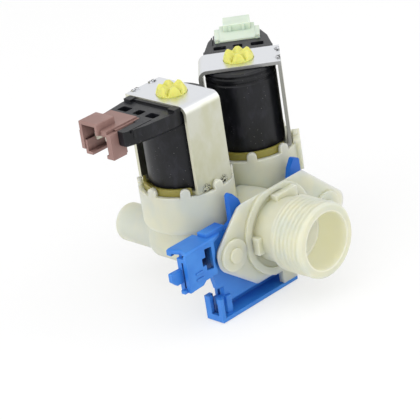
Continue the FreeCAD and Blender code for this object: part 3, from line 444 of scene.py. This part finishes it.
# %% Rings of points on the threaded surface
ROUND_STEPS = 144
ROW_SPACING = 0.12
ROW_SETBACK = 0.02


def circle_angle(step, steps):
    """The angle of one step round a full circle."""
    return 2 * math.pi * step / steps


def thread_rows(bm):
    """The rings, joined by faces, from the mouth to the neck."""
    rows = []
    count = math.ceil((THREAD_END_Y - MOUTH_Y) / ROW_SPACING)
    length = THREAD_END_Y - MOUTH_Y - 2 * ROW_SETBACK
    for i in range(count + 1):
        y = MOUTH_Y + ROW_SETBACK + length * i / count
        row = []
        for j in range(ROUND_STEPS):
            angle = circle_angle(j, ROUND_STEPS)
            r = thread_radius(angle, y)
            row.append(bm.verts.new((r * math.cos(angle) * MM, y * MM, r * math.sin(angle) * MM)))
        rows.append(row)
    for lower, upper in zip(rows, rows[1:]):
        for j in range(ROUND_STEPS):
            k = (j + 1) % ROUND_STEPS
            bm.faces.new((lower[j], upper[j], upper[k], lower[k]))
    return rows


def rim_edges(bm, row):
    """The edges round one ring of points."""
    return [bm.edges.get((row[j], row[(j + 1) % len(row)])) for j in range(len(row))]


print("the thread has", round((THREAD_END_Y - MOUTH_Y) / THREAD_PITCH, 1), "turns")

# %% [markdown]
# A thinner rim
#
# The real flange is thinner at its rim than at its root: seen from the side, its front edge hides its back
# one. A bevel would round the front as well. Only the back edge is wanted, so each of its points moves in
# along the faces of the rim that meet there, which leaves the rim a slope.

# %% Thin the flange's rim
FLANGE_BACK_Y = 3.0
RIM_DRAW_IN = 2.4
ON_PLANE = 0.02
MOST_TILT = 0.05


def thin_rim(bm):
    """Draws the flange's back edge in along the rim's own faces."""
    ways = {}
    for face in bm.faces:
        depths = [v.co.y / MM for v in face.verts]
        on_rim = abs(min(depths)) < ON_PLANE and abs(max(depths) - FLANGE_BACK_Y) < ON_PLANE
        if on_rim and abs(face.normal.y) < MOST_TILT:
            for v in face.verts:
                if abs(v.co.y / MM - FLANGE_BACK_Y) < ON_PLANE:
                    ways.setdefault(v, []).append(face.normal)
    for v, normals in ways.items():
        outward = sum(normals, Vector()).normalized()
        v.co -= outward * RIM_DRAW_IN * MM
    print("drew in", len(ways), "points of the flange's rim")


# %% Put both in a copy of the body
BETWEEN_BORE_AND_NECK = 11.0
RING_MARGIN = 0.01
NEAR_THREAD_Y = -7.5
WELD_MM = 0.002


def is_ringed(face):
    """Whether a face belongs to the ringed barrel, its shoulder or its chamfer."""
    centre = face.calc_center_median() / MM
    outside = math.hypot(centre.x, centre.z) > BETWEEN_BORE_AND_NECK
    return outside and MOUTH_Y + RING_MARGIN < centre.y < THREAD_END_Y - RING_MARGIN


def threaded_body():
    """The body's mesh with a real thread in place of its rings, and a thinner rim."""
    mesh = nodes["valve_body"].data.copy()
    bm = bmesh.new()
    bm.from_mesh(mesh)
    bmesh.ops.remove_doubles(bm, verts=bm.verts, dist=WELD_MM * MM)
    bmesh.ops.delete(bm, geom=[f for f in bm.faces if is_ringed(f)], context="FACES")
    ends = [e for e in bm.edges if e.is_boundary and all(v.co.y < NEAR_THREAD_Y * MM for v in e.verts)]
    rows = thread_rows(bm)
    middle = (MOUTH_Y + THREAD_END_Y) / 2 * MM
    mouth_edges = [e for e in ends if e.verts[0].co.y < middle]
    neck_edges = [e for e in ends if e.verts[0].co.y > middle]
    bmesh.ops.bridge_loops(bm, edges=mouth_edges + rim_edges(bm, rows[0]))
    bmesh.ops.bridge_loops(bm, edges=neck_edges + rim_edges(bm, rows[-1]))
    bmesh.ops.recalc_face_normals(bm, faces=bm.faces)
    bm.normal_update()
    thin_rim(bm)
    open_edges = [e for e in bm.edges if e.is_boundary]
    print("threaded body:", len(bm.faces), "faces,", len(open_edges), "open edges")
    bm.to_mesh(mesh)
    bm.free()
    return mesh


# %% [markdown]
# The copy still carries the surface directions that came in with the frame, and they no longer fit its
# joined corners. They are removed. Every face is then smooth, except across an edge that turns sharply.

# %% Put the threaded body in place
BODY_SHARP_EDGE = math.radians(28)
body_piece = add_object("threaded_valve_body", threaded_body())
stale = body_piece.data.attributes.get("custom_normal")
if stale:
    body_piece.data.attributes.remove(stale)
body_piece.data.shade_smooth()
body_piece.data.set_sharp_from_angle(angle=BODY_SHARP_EDGE)
wear(body_piece, nylon)
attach(body_piece, "body")
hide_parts("valve_body")

# %% [markdown]
# Coloured mouldings
#
# The bracket, the sockets, the coils and the guide tubes are all moulded, and their mould faces differ only
# in colour, gloss and grain. One function makes that family: a base colour that drifts a little, a fine
# grain in the relief, and painted shade in the corners. What only some of them have is asked for by name:
# dust on the coils, painted shade in the depths of the clip and the socket, on the prongs and low on the
# guide tubes, and a faint painted glow in the sieve, for daylight through the nylon round it.

# %% Dust specks, and tones round a point
FULL_WITHIN = 0.4


def specks(finish, spacing_mm, size, kept):
    """Small round dots in random places. Only a share of them is kept."""
    sockets = {"Vector": place(finish), "Scale": 1 / (spacing_mm * MM)}
    dots = finish.node("ShaderNodeTexVoronoi", {}, sockets, output="Distance")
    chance = finish.node("ShaderNodeTexVoronoi", {}, sockets, output="Color")
    chance = finish.node("ShaderNodeSeparateColor", {}, {0: chance})
    return (dots < size) * (chance < kept)


def near(finish, points_mm, reach_mm):
    """1 round any of some points, fading to 0 at a distance from it."""
    total = None
    for point in points_mm:
        sockets = {0: place(finish), 1: Vector(point) * MM}
        away = finish.node("ShaderNodeVectorMath", {"operation": "DISTANCE"}, sockets, output="Value")
        here = 1 - ramp(away, low=reach_mm * MM * FULL_WITHIN, high=reach_mm * MM)
        total = here if total is None else here.combine("MAXIMUM", total, here)
    return total


# %% One function for the mouldings
MOULDING_SCATTER = (1.0, 0.8, 0.5)
MOULDING_SCATTER_MM = 1.5
GRAIN_ROUGHNESS = 0.14
PAINTED_SHADE_FROM_Z = 44.0
PAINTED_SHADE_FULL_Z = 26.0
PAINTED_CORNER_SHADE_SHARE = 0.6
DUST_SHARE = 0.55
DUST_ROUGHNESS = 0.12
SPECK_COLOUR = screen_colour(150, 148, 146)
SPECK_SHARE = 0.6
SPECK_ROUGHNESS = 0.2


def moulding_finish(name, colour, shade, gloss, grain_mm=0.3, depth_mm=0.02, edge_mm=0.2, translucent=0.0,
                    shine=0.5, corner=None, painted_low_shade=None, painted_shade_spots=None, painted_hollow_shade=None, painted_shade_right_x=None,
                    dust=None, glow=None):
    """A moulded plastic: two drifting colours, a grain, and whatever else the piece is given by name."""
    finish = Finish(name)
    drift = noise(finish, scale_mm=9.0, detail=3.0)
    grain = noise(finish, scale_mm=grain_mm, detail=2.0)
    look = blend(ramp(drift, low=0.35, high=0.65), colour, shade)
    rough = gloss + grain * GRAIN_ROUGHNESS
    # Low down the colour darkens toward a painted shade tone.
    if painted_low_shade:
        low_down = ramp(coordinate(finish, "Z"), low=PAINTED_SHADE_FROM_Z, high=PAINTED_SHADE_FULL_Z)
        look = blend(low_down, look, painted_low_shade)
    # A darker tone in corners and under edges is painted shade.
    if corner:
        look = blend(crevice(finish, reach_mm=2.5) * PAINTED_CORNER_SHADE_SHARE, look, corner)
    # Round the given points the colour darkens as painted shade.
    if painted_shade_spots:
        points_mm, reach_mm, tone = painted_shade_spots
        look = blend(near(finish, points_mm, reach_mm), look, tone)
    # Deep closed-in places are darkened as painted shade.
    if painted_hollow_shade:
        closed_in = crevice(finish, reach_mm=9.0, closed=0.2, open_sky=0.55)
        if painted_shade_right_x is not None:
            closed_in = closed_in * (coordinate(finish, "X") < painted_shade_right_x)
        look = blend(closed_in, look, painted_hollow_shade)
    if dust:
        smears = noise(finish, scale_mm=3.2, detail=4.0, stretch=(1, 1, 2), roughness=0.62)
        bloom = ramp(smears, low=0.46, high=0.7)
        dots = specks(finish, spacing_mm=1.1, size=0.085, kept=0.4)
        look = blend(bloom * DUST_SHARE, look, dust)
        look = blend(dots * SPECK_SHARE, look, SPECK_COLOUR)
        rough = rough + bloom * DUST_ROUGHNESS + dots * SPECK_ROUGHNESS
    # The glow is painted light, for daylight coming through the nylon round the piece.
    if glow:
        finish.set(Emission_Color=glow, Emission_Strength=1.0)
    finish.set(
        Base_Color=look,
        Roughness=rough,
        Normal=relief(finish, grain, depth_mm, edge_mm),
        IOR=1.5,
        Specular_IOR_Level=shine,
        Subsurface_Weight=translucent,
        Subsurface_Radius=MOULDING_SCATTER,
        Subsurface_Scale=MOULDING_SCATTER_MM * MM,
    )
    return finish


# %% The bracket's blue
CLIP_RIGHT_X = -27.5
PRONG_POINTS = ((-15.6, 5.0, 16.5), (15.6, 5.0, 16.5), (-17.5, 5.0, 8.0))
PRONG_REACH = 13.0
# The blue is darkened in corners, round the prongs and inside the clip, all as painted shade.
blue_moulding = moulding_finish(
    "blue_moulding", screen_colour(56, 134, 220), screen_colour(44, 122, 212), gloss=0.34, edge_mm=0.25,
    translucent=0.1, corner=screen_colour(18, 80, 182),
    painted_shade_spots=(PRONG_POINTS, PRONG_REACH, screen_colour(6, 98, 196)),
    painted_hollow_shade=screen_colour(8, 20, 76), painted_shade_right_x=CLIP_RIGHT_X,
)
print("the bracket's blue has", len(blue_moulding.tree.nodes), "nodes")

# %% The coils' black and the guide tubes' yellow
black_moulding = moulding_finish(
    "black_moulding", screen_colour(17, 18, 21), screen_colour(22, 23, 28), gloss=0.27, grain_mm=0.4,
    depth_mm=0.03, edge_mm=0.3, shine=0.3, dust=screen_colour(42, 42, 50),
)
# The guide tubes' yellow is darkened in corners and low down, below the yoke, as painted shade.
yellow_moulding = moulding_finish(
    "yellow_moulding", screen_colour(226, 225, 122), screen_colour(218, 215, 104), gloss=0.3,
    translucent=0.7, corner=screen_colour(196, 190, 72), painted_low_shade=screen_colour(144, 136, 62),
)
print("the coils' black has", len(black_moulding.tree.nodes), "nodes")

# %% The sockets' brown and green
# The brown is darkened in corners and in the socket's depths as painted shade.
brown_moulding = moulding_finish(
    "brown_moulding", screen_colour(154, 121, 114), screen_colour(144, 111, 104), gloss=0.42,
    corner=screen_colour(92, 62, 58), painted_hollow_shade=screen_colour(58, 36, 33),
)
# The green's corners are darkened as painted shade.
green_moulding = moulding_finish(
    "green_moulding", screen_colour(220, 232, 216), screen_colour(211, 225, 208), gloss=0.38,
    translucent=0.35, corner=screen_colour(166, 184, 164),
)
print("two sockets, in", brown_moulding.material.name, "and", green_moulding.material.name)

# %% The sieve, the white pieces inside, and the rubber
# The sieve is darkened in corners as painted shade and glows faintly as painted light.
sieve_moulding = moulding_finish(
    "sieve_moulding", screen_colour(224, 224, 212), screen_colour(214, 214, 200), gloss=0.42,
    translucent=0.2, corner=screen_colour(188, 188, 172), glow=screen_colour(112, 112, 106),
)
white_moulding = moulding_finish(
    "white_moulding", screen_colour(226, 226, 216), screen_colour(214, 214, 204), gloss=0.4,
    translucent=0.1,
)
moulded_rubber = moulding_finish(
    "moulded_rubber", screen_colour(34, 34, 35), screen_colour(42, 42, 43), gloss=0.55
)
print(len(bpy.data.materials), "materials so far")

# %% [markdown]
# Where the valves stand
#
# The two valves are alike, but the right one's yoke and crown are turned about the valve's own axis. What
# is fitted to them is worked out once, round an axis, and then set on both. The axes are read off the
# frame's windings, which are round.

# %% The valves' axes and turns
TURNS = {"left": 0.0, "right": math.radians(-135.0)}


def valve_axis(side):
    """A valve's own upright axis, as x and y in millimetres."""
    low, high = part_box(side + "_winding")
    return [(a + b) / 2 / MM for a, b in zip(low, high)][:2]


def on_valve(side, across, out):
    """A point's x and y, from how far across the yoke's strip and how far out along it the point is."""
    x, y = valve_axis(side)
    cosine = math.cos(TURNS[side])
    sine = math.sin(TURNS[side])
    return x + across * cosine - out * sine, y + across * sine + out * cosine


for side in TURNS:
    print("the", side, "valve's axis is at", [round(v, 2) for v in valve_axis(side)], "mm")

# %% [markdown]
# Plated steel
#
# The yokes are bent from zinc-plated strip. Rolling leaves faint streaks along the strip, and the plating
# has a pale yellow bloom in clouds. Below the bend the colour is darker and yellower: partly that bloom,
# partly painted shade on the upright sides. The strip was sheared, so its narrow edges are bare, darker and
# rougher, with marks across them; how pale or dark they are differs from side to side as painted light and
# shade. Where a tab was hammered over, the plating has cracked and the steel is dark.

# %% The steel finish
SHEAR_MARK_MM = 0.48
BLOOM_AND_SHADE_FROM_Z = 51.9
BLOOM_AND_SHADE_FULL_Z = 48.6
LEAST_BLOOM_AND_SHADE = 0.7
BLOOM_ROUGHNESS = 0.1
STREAK_ROUGHNESS = 0.1
STREAK_RELIEF = 0.6
LEAST_EDGE_TONE = 0.7
EDGE_ROUGHNESS = 0.18
CRACK_REACH = 2.6
CRACK_ROUGHNESS = 0.2
CRACKED_STEEL = screen_colour(38, 37, 35)


def facing(finish, direction):
    """How nearly the surface faces along a direction, either way, in the frame's own axes."""
    sockets = {0: finish.node("ShaderNodeTexCoord", output="Normal"), 1: direction}
    along = finish.node("ShaderNodeVectorMath", {"operation": "DOT_PRODUCT"}, sockets, output="Value")
    return finish.node("ShaderNodeMath", {"operation": "ABSOLUTE"}, {0: along})


def steel_finish(name, bright, bloom, gloss, edge_way=None, edge_tone=None, stakes=()):
    """Plated or bare steel, with sheared edges that face along edge_way and dark marks at its stakes."""
    finish = Finish(name)
    streaks = noise(finish, scale_mm=0.9, detail=3.0, stretch=(0.15, 0.15, 1.2))
    clouds = noise(finish, scale_mm=7.0, detail=4.0, stretch=(1, 1, 1.6), roughness=0.6)
    fine = noise(finish, scale_mm=0.5, detail=3.0)
    mask = ramp(clouds, low=0.35, high=0.7)
    # Below the bend the colour leans to the bloom tone: partly yellow bloom, partly painted shade.
    if edge_way:
        below_the_bend = ramp(coordinate(finish, "Z"), low=BLOOM_AND_SHADE_FROM_Z, high=BLOOM_AND_SHADE_FULL_Z)
        mask = (LEAST_BLOOM_AND_SHADE + mask * (1 - LEAST_BLOOM_AND_SHADE)) * below_the_bend
    look = blend(mask, bright, bloom)
    rough = gloss + streaks * STREAK_ROUGHNESS + mask * BLOOM_ROUGHNESS
    if edge_way:
        sheared = ramp(facing(finish, edge_way), low=0.75, high=0.9)
        marks = noise(finish, scale_mm=SHEAR_MARK_MM, detail=2.0, stretch=(1, 1, 0.3))
        look = blend(sheared * (LEAST_EDGE_TONE + marks * (1 - LEAST_EDGE_TONE)), look, edge_tone)
        cracked = near(finish, stakes, CRACK_REACH) * ramp(fine, low=0.46, high=0.54)
        look = blend(cracked, look, CRACKED_STEEL)
        rough = rough + sheared * EDGE_ROUGHNESS + cracked * CRACK_ROUGHNESS
    height = streaks * STREAK_RELIEF + fine * (1 - STREAK_RELIEF)
    finish.set(
        Base_Color=look,
        Metallic=1.0,
        Roughness=rough,
        Normal=relief(finish, height, depth_mm=0.012, edge_mm=0.12),
    )
    return finish


# %% The two yokes
PLATE_BRIGHT = screen_colour(222, 224, 228)
PLATE_BLOOM_AND_SHADE = screen_colour(197, 197, 174)
# The left yoke's pale edge tone is painted light; the right one's dark edge tone is painted shade.
EDGE_TONES_LIT_AND_SHADED = {"left": screen_colour(210, 209, 190), "right": screen_colour(142, 142, 140)}
STAKE_FROM_MIDDLE = 4.0
STAKE_FROM_AXIS = 14.2
STAKE_TOP_Z = 52.0
STAKE_LOW_Z = 20.8


def yoke_finish(side):
    """The plating of one side's yoke, with its four stakes and the way that its sheared edges face."""
    stakes = []
    for out, z in ((STAKE_FROM_AXIS, STAKE_TOP_Z), (-STAKE_FROM_AXIS, STAKE_LOW_Z)):
        for across in (-STAKE_FROM_MIDDLE, STAKE_FROM_MIDDLE):
            stakes.append((*on_valve(side, across, out), z))
    edge_way = (math.cos(TURNS[side]), math.sin(TURNS[side]), 0)
    return steel_finish(
        side + "_zinc_plate", PLATE_BRIGHT, PLATE_BLOOM_AND_SHADE, 0.27, edge_way, EDGE_TONES_LIT_AND_SHADED[side], stakes
    )


zinc_plates = {side: yoke_finish(side) for side in TURNS}
print("plated:", [plate.material.name for plate in zinc_plates.values()])

# %% The plain metals
plain_steel = steel_finish("plain_steel", screen_colour(196, 196, 198), screen_colour(182, 182, 184), 0.28)
tinned_tag = steel_finish("tinned_tag", screen_colour(214, 210, 196), screen_colour(200, 196, 180), 0.26)
copper_wire = steel_finish("copper_wire", screen_colour(196, 120, 70), screen_colour(176, 98, 54), 0.3)
print(len(bpy.data.materials), "materials in all but the floor's")

# %% [markdown]
# Dressing the pieces
#
# Most pieces come in a left and a right one that look alike, so a finish is found by the name without its
# side. The yokes and the sockets differ from side to side, and are found by their whole name. The body
# isn't among them, because its threaded copy is dressed already.

# %% Dress every piece of the frame
PIECE_FINISHES = {
    "mounting_bracket": blue_moulding,
    "inlet_strainer": sieve_moulding,
    "regulator_carrier": sieve_moulding,
    "flow_regulator": moulded_rubber,
    "coil": black_moulding,
    "bobbin": white_moulding,
    "winding": copper_wire,
    "terminals": tinned_tag,
    "left_yoke_cap": zinc_plates["left"],
    "left_yoke_base": zinc_plates["left"],
    "right_yoke_cap": zinc_plates["right"],
    "right_yoke_base": zinc_plates["right"],
    "lower_pole": plain_steel,
    "upper_pole": plain_steel,
    "guide_tube": yellow_moulding,
    "plunger": plain_steel,
    "plunger_seal": moulded_rubber,
    "plunger_spring": plain_steel,
    "diaphragm": moulded_rubber,
    "diaphragm_insert": white_moulding,
    "left_connector": brown_moulding,
    "right_connector": green_moulding,
}


def finish_of(name):
    """The finish for a node, by its whole name or by its name without the side."""
    without_side = name.removeprefix("left_").removeprefix("right_")
    return PIECE_FINISHES.get(name) or PIECE_FINISHES[without_side]


other_nodes = [name for name in nodes if name != "valve_body"]
for name in other_nodes:
    wear(nodes[name], finish_of(name))
print("dressed", len(other_nodes), "pieces")

# %% [markdown]
# The springs
#
# A light coil spring holds each plunger down, and it shortens when the coil lifts the plunger. A rigid
# spring would be cut through. Here a copy of the frame's spring takes its place.

# %% Put a copy of each spring in place
for side in TURNS:
    stiff = side + "_plunger_spring"
    spring = add_object(side + "_coiled_spring", nodes[stiff].data.copy())
    wear(spring, plain_steel)
    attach(spring, "body")
    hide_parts(stiff)
    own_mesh(spring)

# %% [markdown]
# The crowns
#
# Each guide tube ends above its yoke in a small crown of six soft teeth round a dimple, which a spanner
# turns. The frame's crowns have flat cuts. Moulded teeth have no flats: their height is a smooth function
# of the angle and the distance from the middle, so a round grid of points gives them directly. The new
# crown is a little fuller than the frame's and hides it.

# %% The crown's sizes, in millimetres
CROWN_TEETH = 6
CROWN_RADIUS = 5.27
CROWN_RIM = 4.2
CROWN_COVER = 0.15
CROWN_TOP_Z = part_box("left_guide_tube")[1][2] / MM + CROWN_COVER
CROWN_SHOULDER_Z = 52.4
CROWN_WAIST_Z = 52.1
CROWN_FOOT_Z = 51.3
NOTCH_DEPTH = 1.15
NOTCH_HALF_WIDTH = 0.86
NOTCH_SHARPNESS = 1.3
VALLEY_DEPTH = 1.62
VALLEY_HALF_WIDTH = 1.5
VALLEY_SHARPNESS = 1.1
VALLEY_FULL_AT = 2.7
DIMPLE_DEPTH = 1.6
DIMPLE_RADIUS = 2.2
DIMPLE_SHARPNESS = 0.8


def off_valley(angle, r):
    """How far a point of the crown is from the middle line of the nearest valley between two teeth."""
    step = 2 * math.pi / CROWN_TEETH
    off_tooth = abs((angle + step / 2) % step - step / 2)
    return r * math.sin(step / 2 - off_tooth)


def crown_side(angle):
    """The radius of the crown's side, drawn in where a notch runs down it."""
    notch = max(0.0, 1 - off_valley(angle, CROWN_RADIUS) / NOTCH_HALF_WIDTH)
    return CROWN_RADIUS - NOTCH_DEPTH * notch ** NOTCH_SHARPNESS


def crown_height(angle, r):
    """The height of the crown's top, at an angle and a distance from its middle."""
    valley = max(0.0, 1 - off_valley(angle, r) / VALLEY_HALF_WIDTH)
    dimple = max(0.0, 1 - r / DIMPLE_RADIUS)
    reach = min(1.0, (r / VALLEY_FULL_AT) ** 2)
    cut = VALLEY_DEPTH * valley ** VALLEY_SHARPNESS * reach
    return CROWN_TOP_Z - cut - DIMPLE_DEPTH * dimple ** DIMPLE_SHARPNESS


print("a crown rises", round(CROWN_TOP_Z - CROWN_SHOULDER_Z, 2), "mm above its shoulder")

# %% The crown as a round grid
ROUND_GRID = 120
SLOPE_SHARES = (0.3, 0.6, 0.8, 0.95)
SLOPE_BULGE = 1.6
TOP_SHARES = (0.97, 0.9, 0.82, 0.72, 0.62, 0.52, 0.45, 0.38, 0.31, 0.24, 0.17, 0.1, 0.04)
CROWN_SHARP_EDGE = math.radians(60)


def crown_section(angle):
    """The crown's outline at one angle, from its foot to its middle, as radii and heights."""
    side = crown_side(angle)
    rim = min(CROWN_RIM, side)
    rise = crown_height(angle, rim) - CROWN_SHOULDER_Z
    section = [(CROWN_RADIUS, CROWN_FOOT_Z), (CROWN_RADIUS, CROWN_WAIST_Z), (side, CROWN_SHOULDER_Z)]
    for share in SLOPE_SHARES:
        r = side + (rim - side) * share ** SLOPE_BULGE
        section.append((r, CROWN_SHOULDER_Z + rise * share))
    for share in TOP_SHARES:
        section.append((rim * share, crown_height(angle, rim * share)))
    return section


def crown_mesh(name, axis_x, axis_y, turn):
    """One crown as a closed mesh, turned about its own axis."""
    bm = bmesh.new()
    angles = [circle_angle(j, ROUND_GRID) for j in range(ROUND_GRID)]
    rings = []
    for outline in zip(*[crown_section(angle) for angle in angles]):
        ring = []
        for angle, (r, z) in zip(angles, outline):
            x = axis_x + r * math.cos(angle + turn)
            y = axis_y + r * math.sin(angle + turn)
            ring.append(bm.verts.new((x * MM, y * MM, z * MM)))
        rings.append(ring)
    for lower, upper in zip(rings, rings[1:]):
        for j in range(ROUND_GRID):
            k = (j + 1) % ROUND_GRID
            bm.faces.new((lower[j], lower[k], upper[k], upper[j]))
    bm.faces.new(rings[-1])
    bm.faces.new(list(reversed(rings[0])))
    mesh = bpy.data.meshes.new(name)
    bm.to_mesh(mesh)
    bm.free()
    mesh.shade_smooth()
    mesh.set_sharp_from_angle(angle=CROWN_SHARP_EDGE)
    return mesh


# %% Set one on each guide tube
for side, turn in TURNS.items():
    name = side + "_crown"
    crown = add_object(name, crown_mesh(name, *valve_axis(side), turn))
    wear(crown, yellow_moulding)
    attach(crown, "body")
    print(side, "crown has", len(crown.data.polygons), "faces")

# %% [markdown]
# The studio
#
# The photograph was taken in a white tent: light comes from all round, a little more from above and from
# the left. A pale floor, a white world and three large lamps do the same. The world is white to the camera
# and to reflections, and dimmer as a light, so that the lamps can give the object its shape. The floor is
# half paint and half glow to whatever looks at it, which keeps it white where no shadow falls, and plain
# paint to the light that bounces off it.

# %% The floor
FLOOR_DROP = 0.4 * MM
FLOOR_REACH = 3.0
FLOOR_PAINT = grey(0.95)
FLOOR_PAINT_SEEN = grey(0.4)
FLOOR_GLOW_SEEN = grey(0.6)
floor_corners = [(x * FLOOR_REACH, y * FLOOR_REACH, 0) for x, y in ((-1, -1), (1, -1), (1, 1), (-1, 1))]
floor_mesh = bpy.data.meshes.new("studio_floor")
floor_mesh.from_pydata(floor_corners, [], [(0, 1, 2, 3)])
floor = add_object("studio_floor", floor_mesh)
floor.location.z = cad_box[0].z - FLOOR_DROP


def ray_share(graph, kind):
    """1 for a ray of one kind, 0 for any other."""
    return graph.node("ShaderNodeLightPath", output="Is " + kind + " Ray")


floor_finish = Finish("studio_floor")
looked_at = (
    ray_share(floor_finish, "Camera") + ray_share(floor_finish, "Glossy")
    + ray_share(floor_finish, "Transmission")
)
floor_finish.set(
    Base_Color=blend(looked_at, FLOOR_PAINT, FLOOR_PAINT_SEEN),
    Emission_Color=blend(looked_at, grey(0.0), FLOOR_GLOW_SEEN),
    Emission_Strength=1.0,
    Roughness=0.9,
    Specular_IOR_Level=0.1,
)
wear(floor, floor_finish)
print("the floor is", round(FLOOR_DROP / MM, 1), "mm below the valve")

# %% The world
WORLD_LIGHT = 0.62
WORLD_SEEN = 1.0
world = bpy.data.worlds.new("white_tent")
bpy.context.scene.world = world
world.use_nodes = True
sky = Graph(world.node_tree)
background = world.node_tree.nodes["Background"].inputs
seen = ray_share(sky, "Camera")
seen = seen.combine("MAXIMUM", seen, ray_share(sky, "Glossy"))
strength = {"Value": seen, "To Min": WORLD_LIGHT, "To Max": WORLD_SEEN}
sky.plug(background["Color"], grey(1.0))
sky.plug(background["Strength"], sky.node("ShaderNodeMapRange", {}, strength))
print("the world gives", WORLD_LIGHT, "as a light and", WORLD_SEEN, "to the eye")

# %% The lamps


def lamp(name, direction, distance, size, power):
    """A square lamp that looks at the object from a direction, in metres and watts."""
    data = bpy.data.lights.new(name, "AREA")
    data.shape = "SQUARE"
    data.size = size
    data.energy = power
    source = add_object(name, data)
    toward = Vector(direction).normalized()
    source.location = CAMERA_AIM + toward * distance
    source.rotation_mode = "QUATERNION"
    source.rotation_quaternion = (-toward).to_track_quat("-Z", "Y")
    print(name, "gives", power, "W")


lamp("key_lamp", direction=(-0.5, -0.45, 1.0), distance=1.3, size=2.0, power=11.0)
lamp("side_lamp", direction=(0.9, -0.8, 0.5), distance=1.2, size=1.2, power=3.2)
lamp("left_lamp", direction=(-1.0, 0.3, 0.3), distance=1.2, size=0.9, power=3.4)
bpy.context.scene.view_settings.view_transform = "Standard"
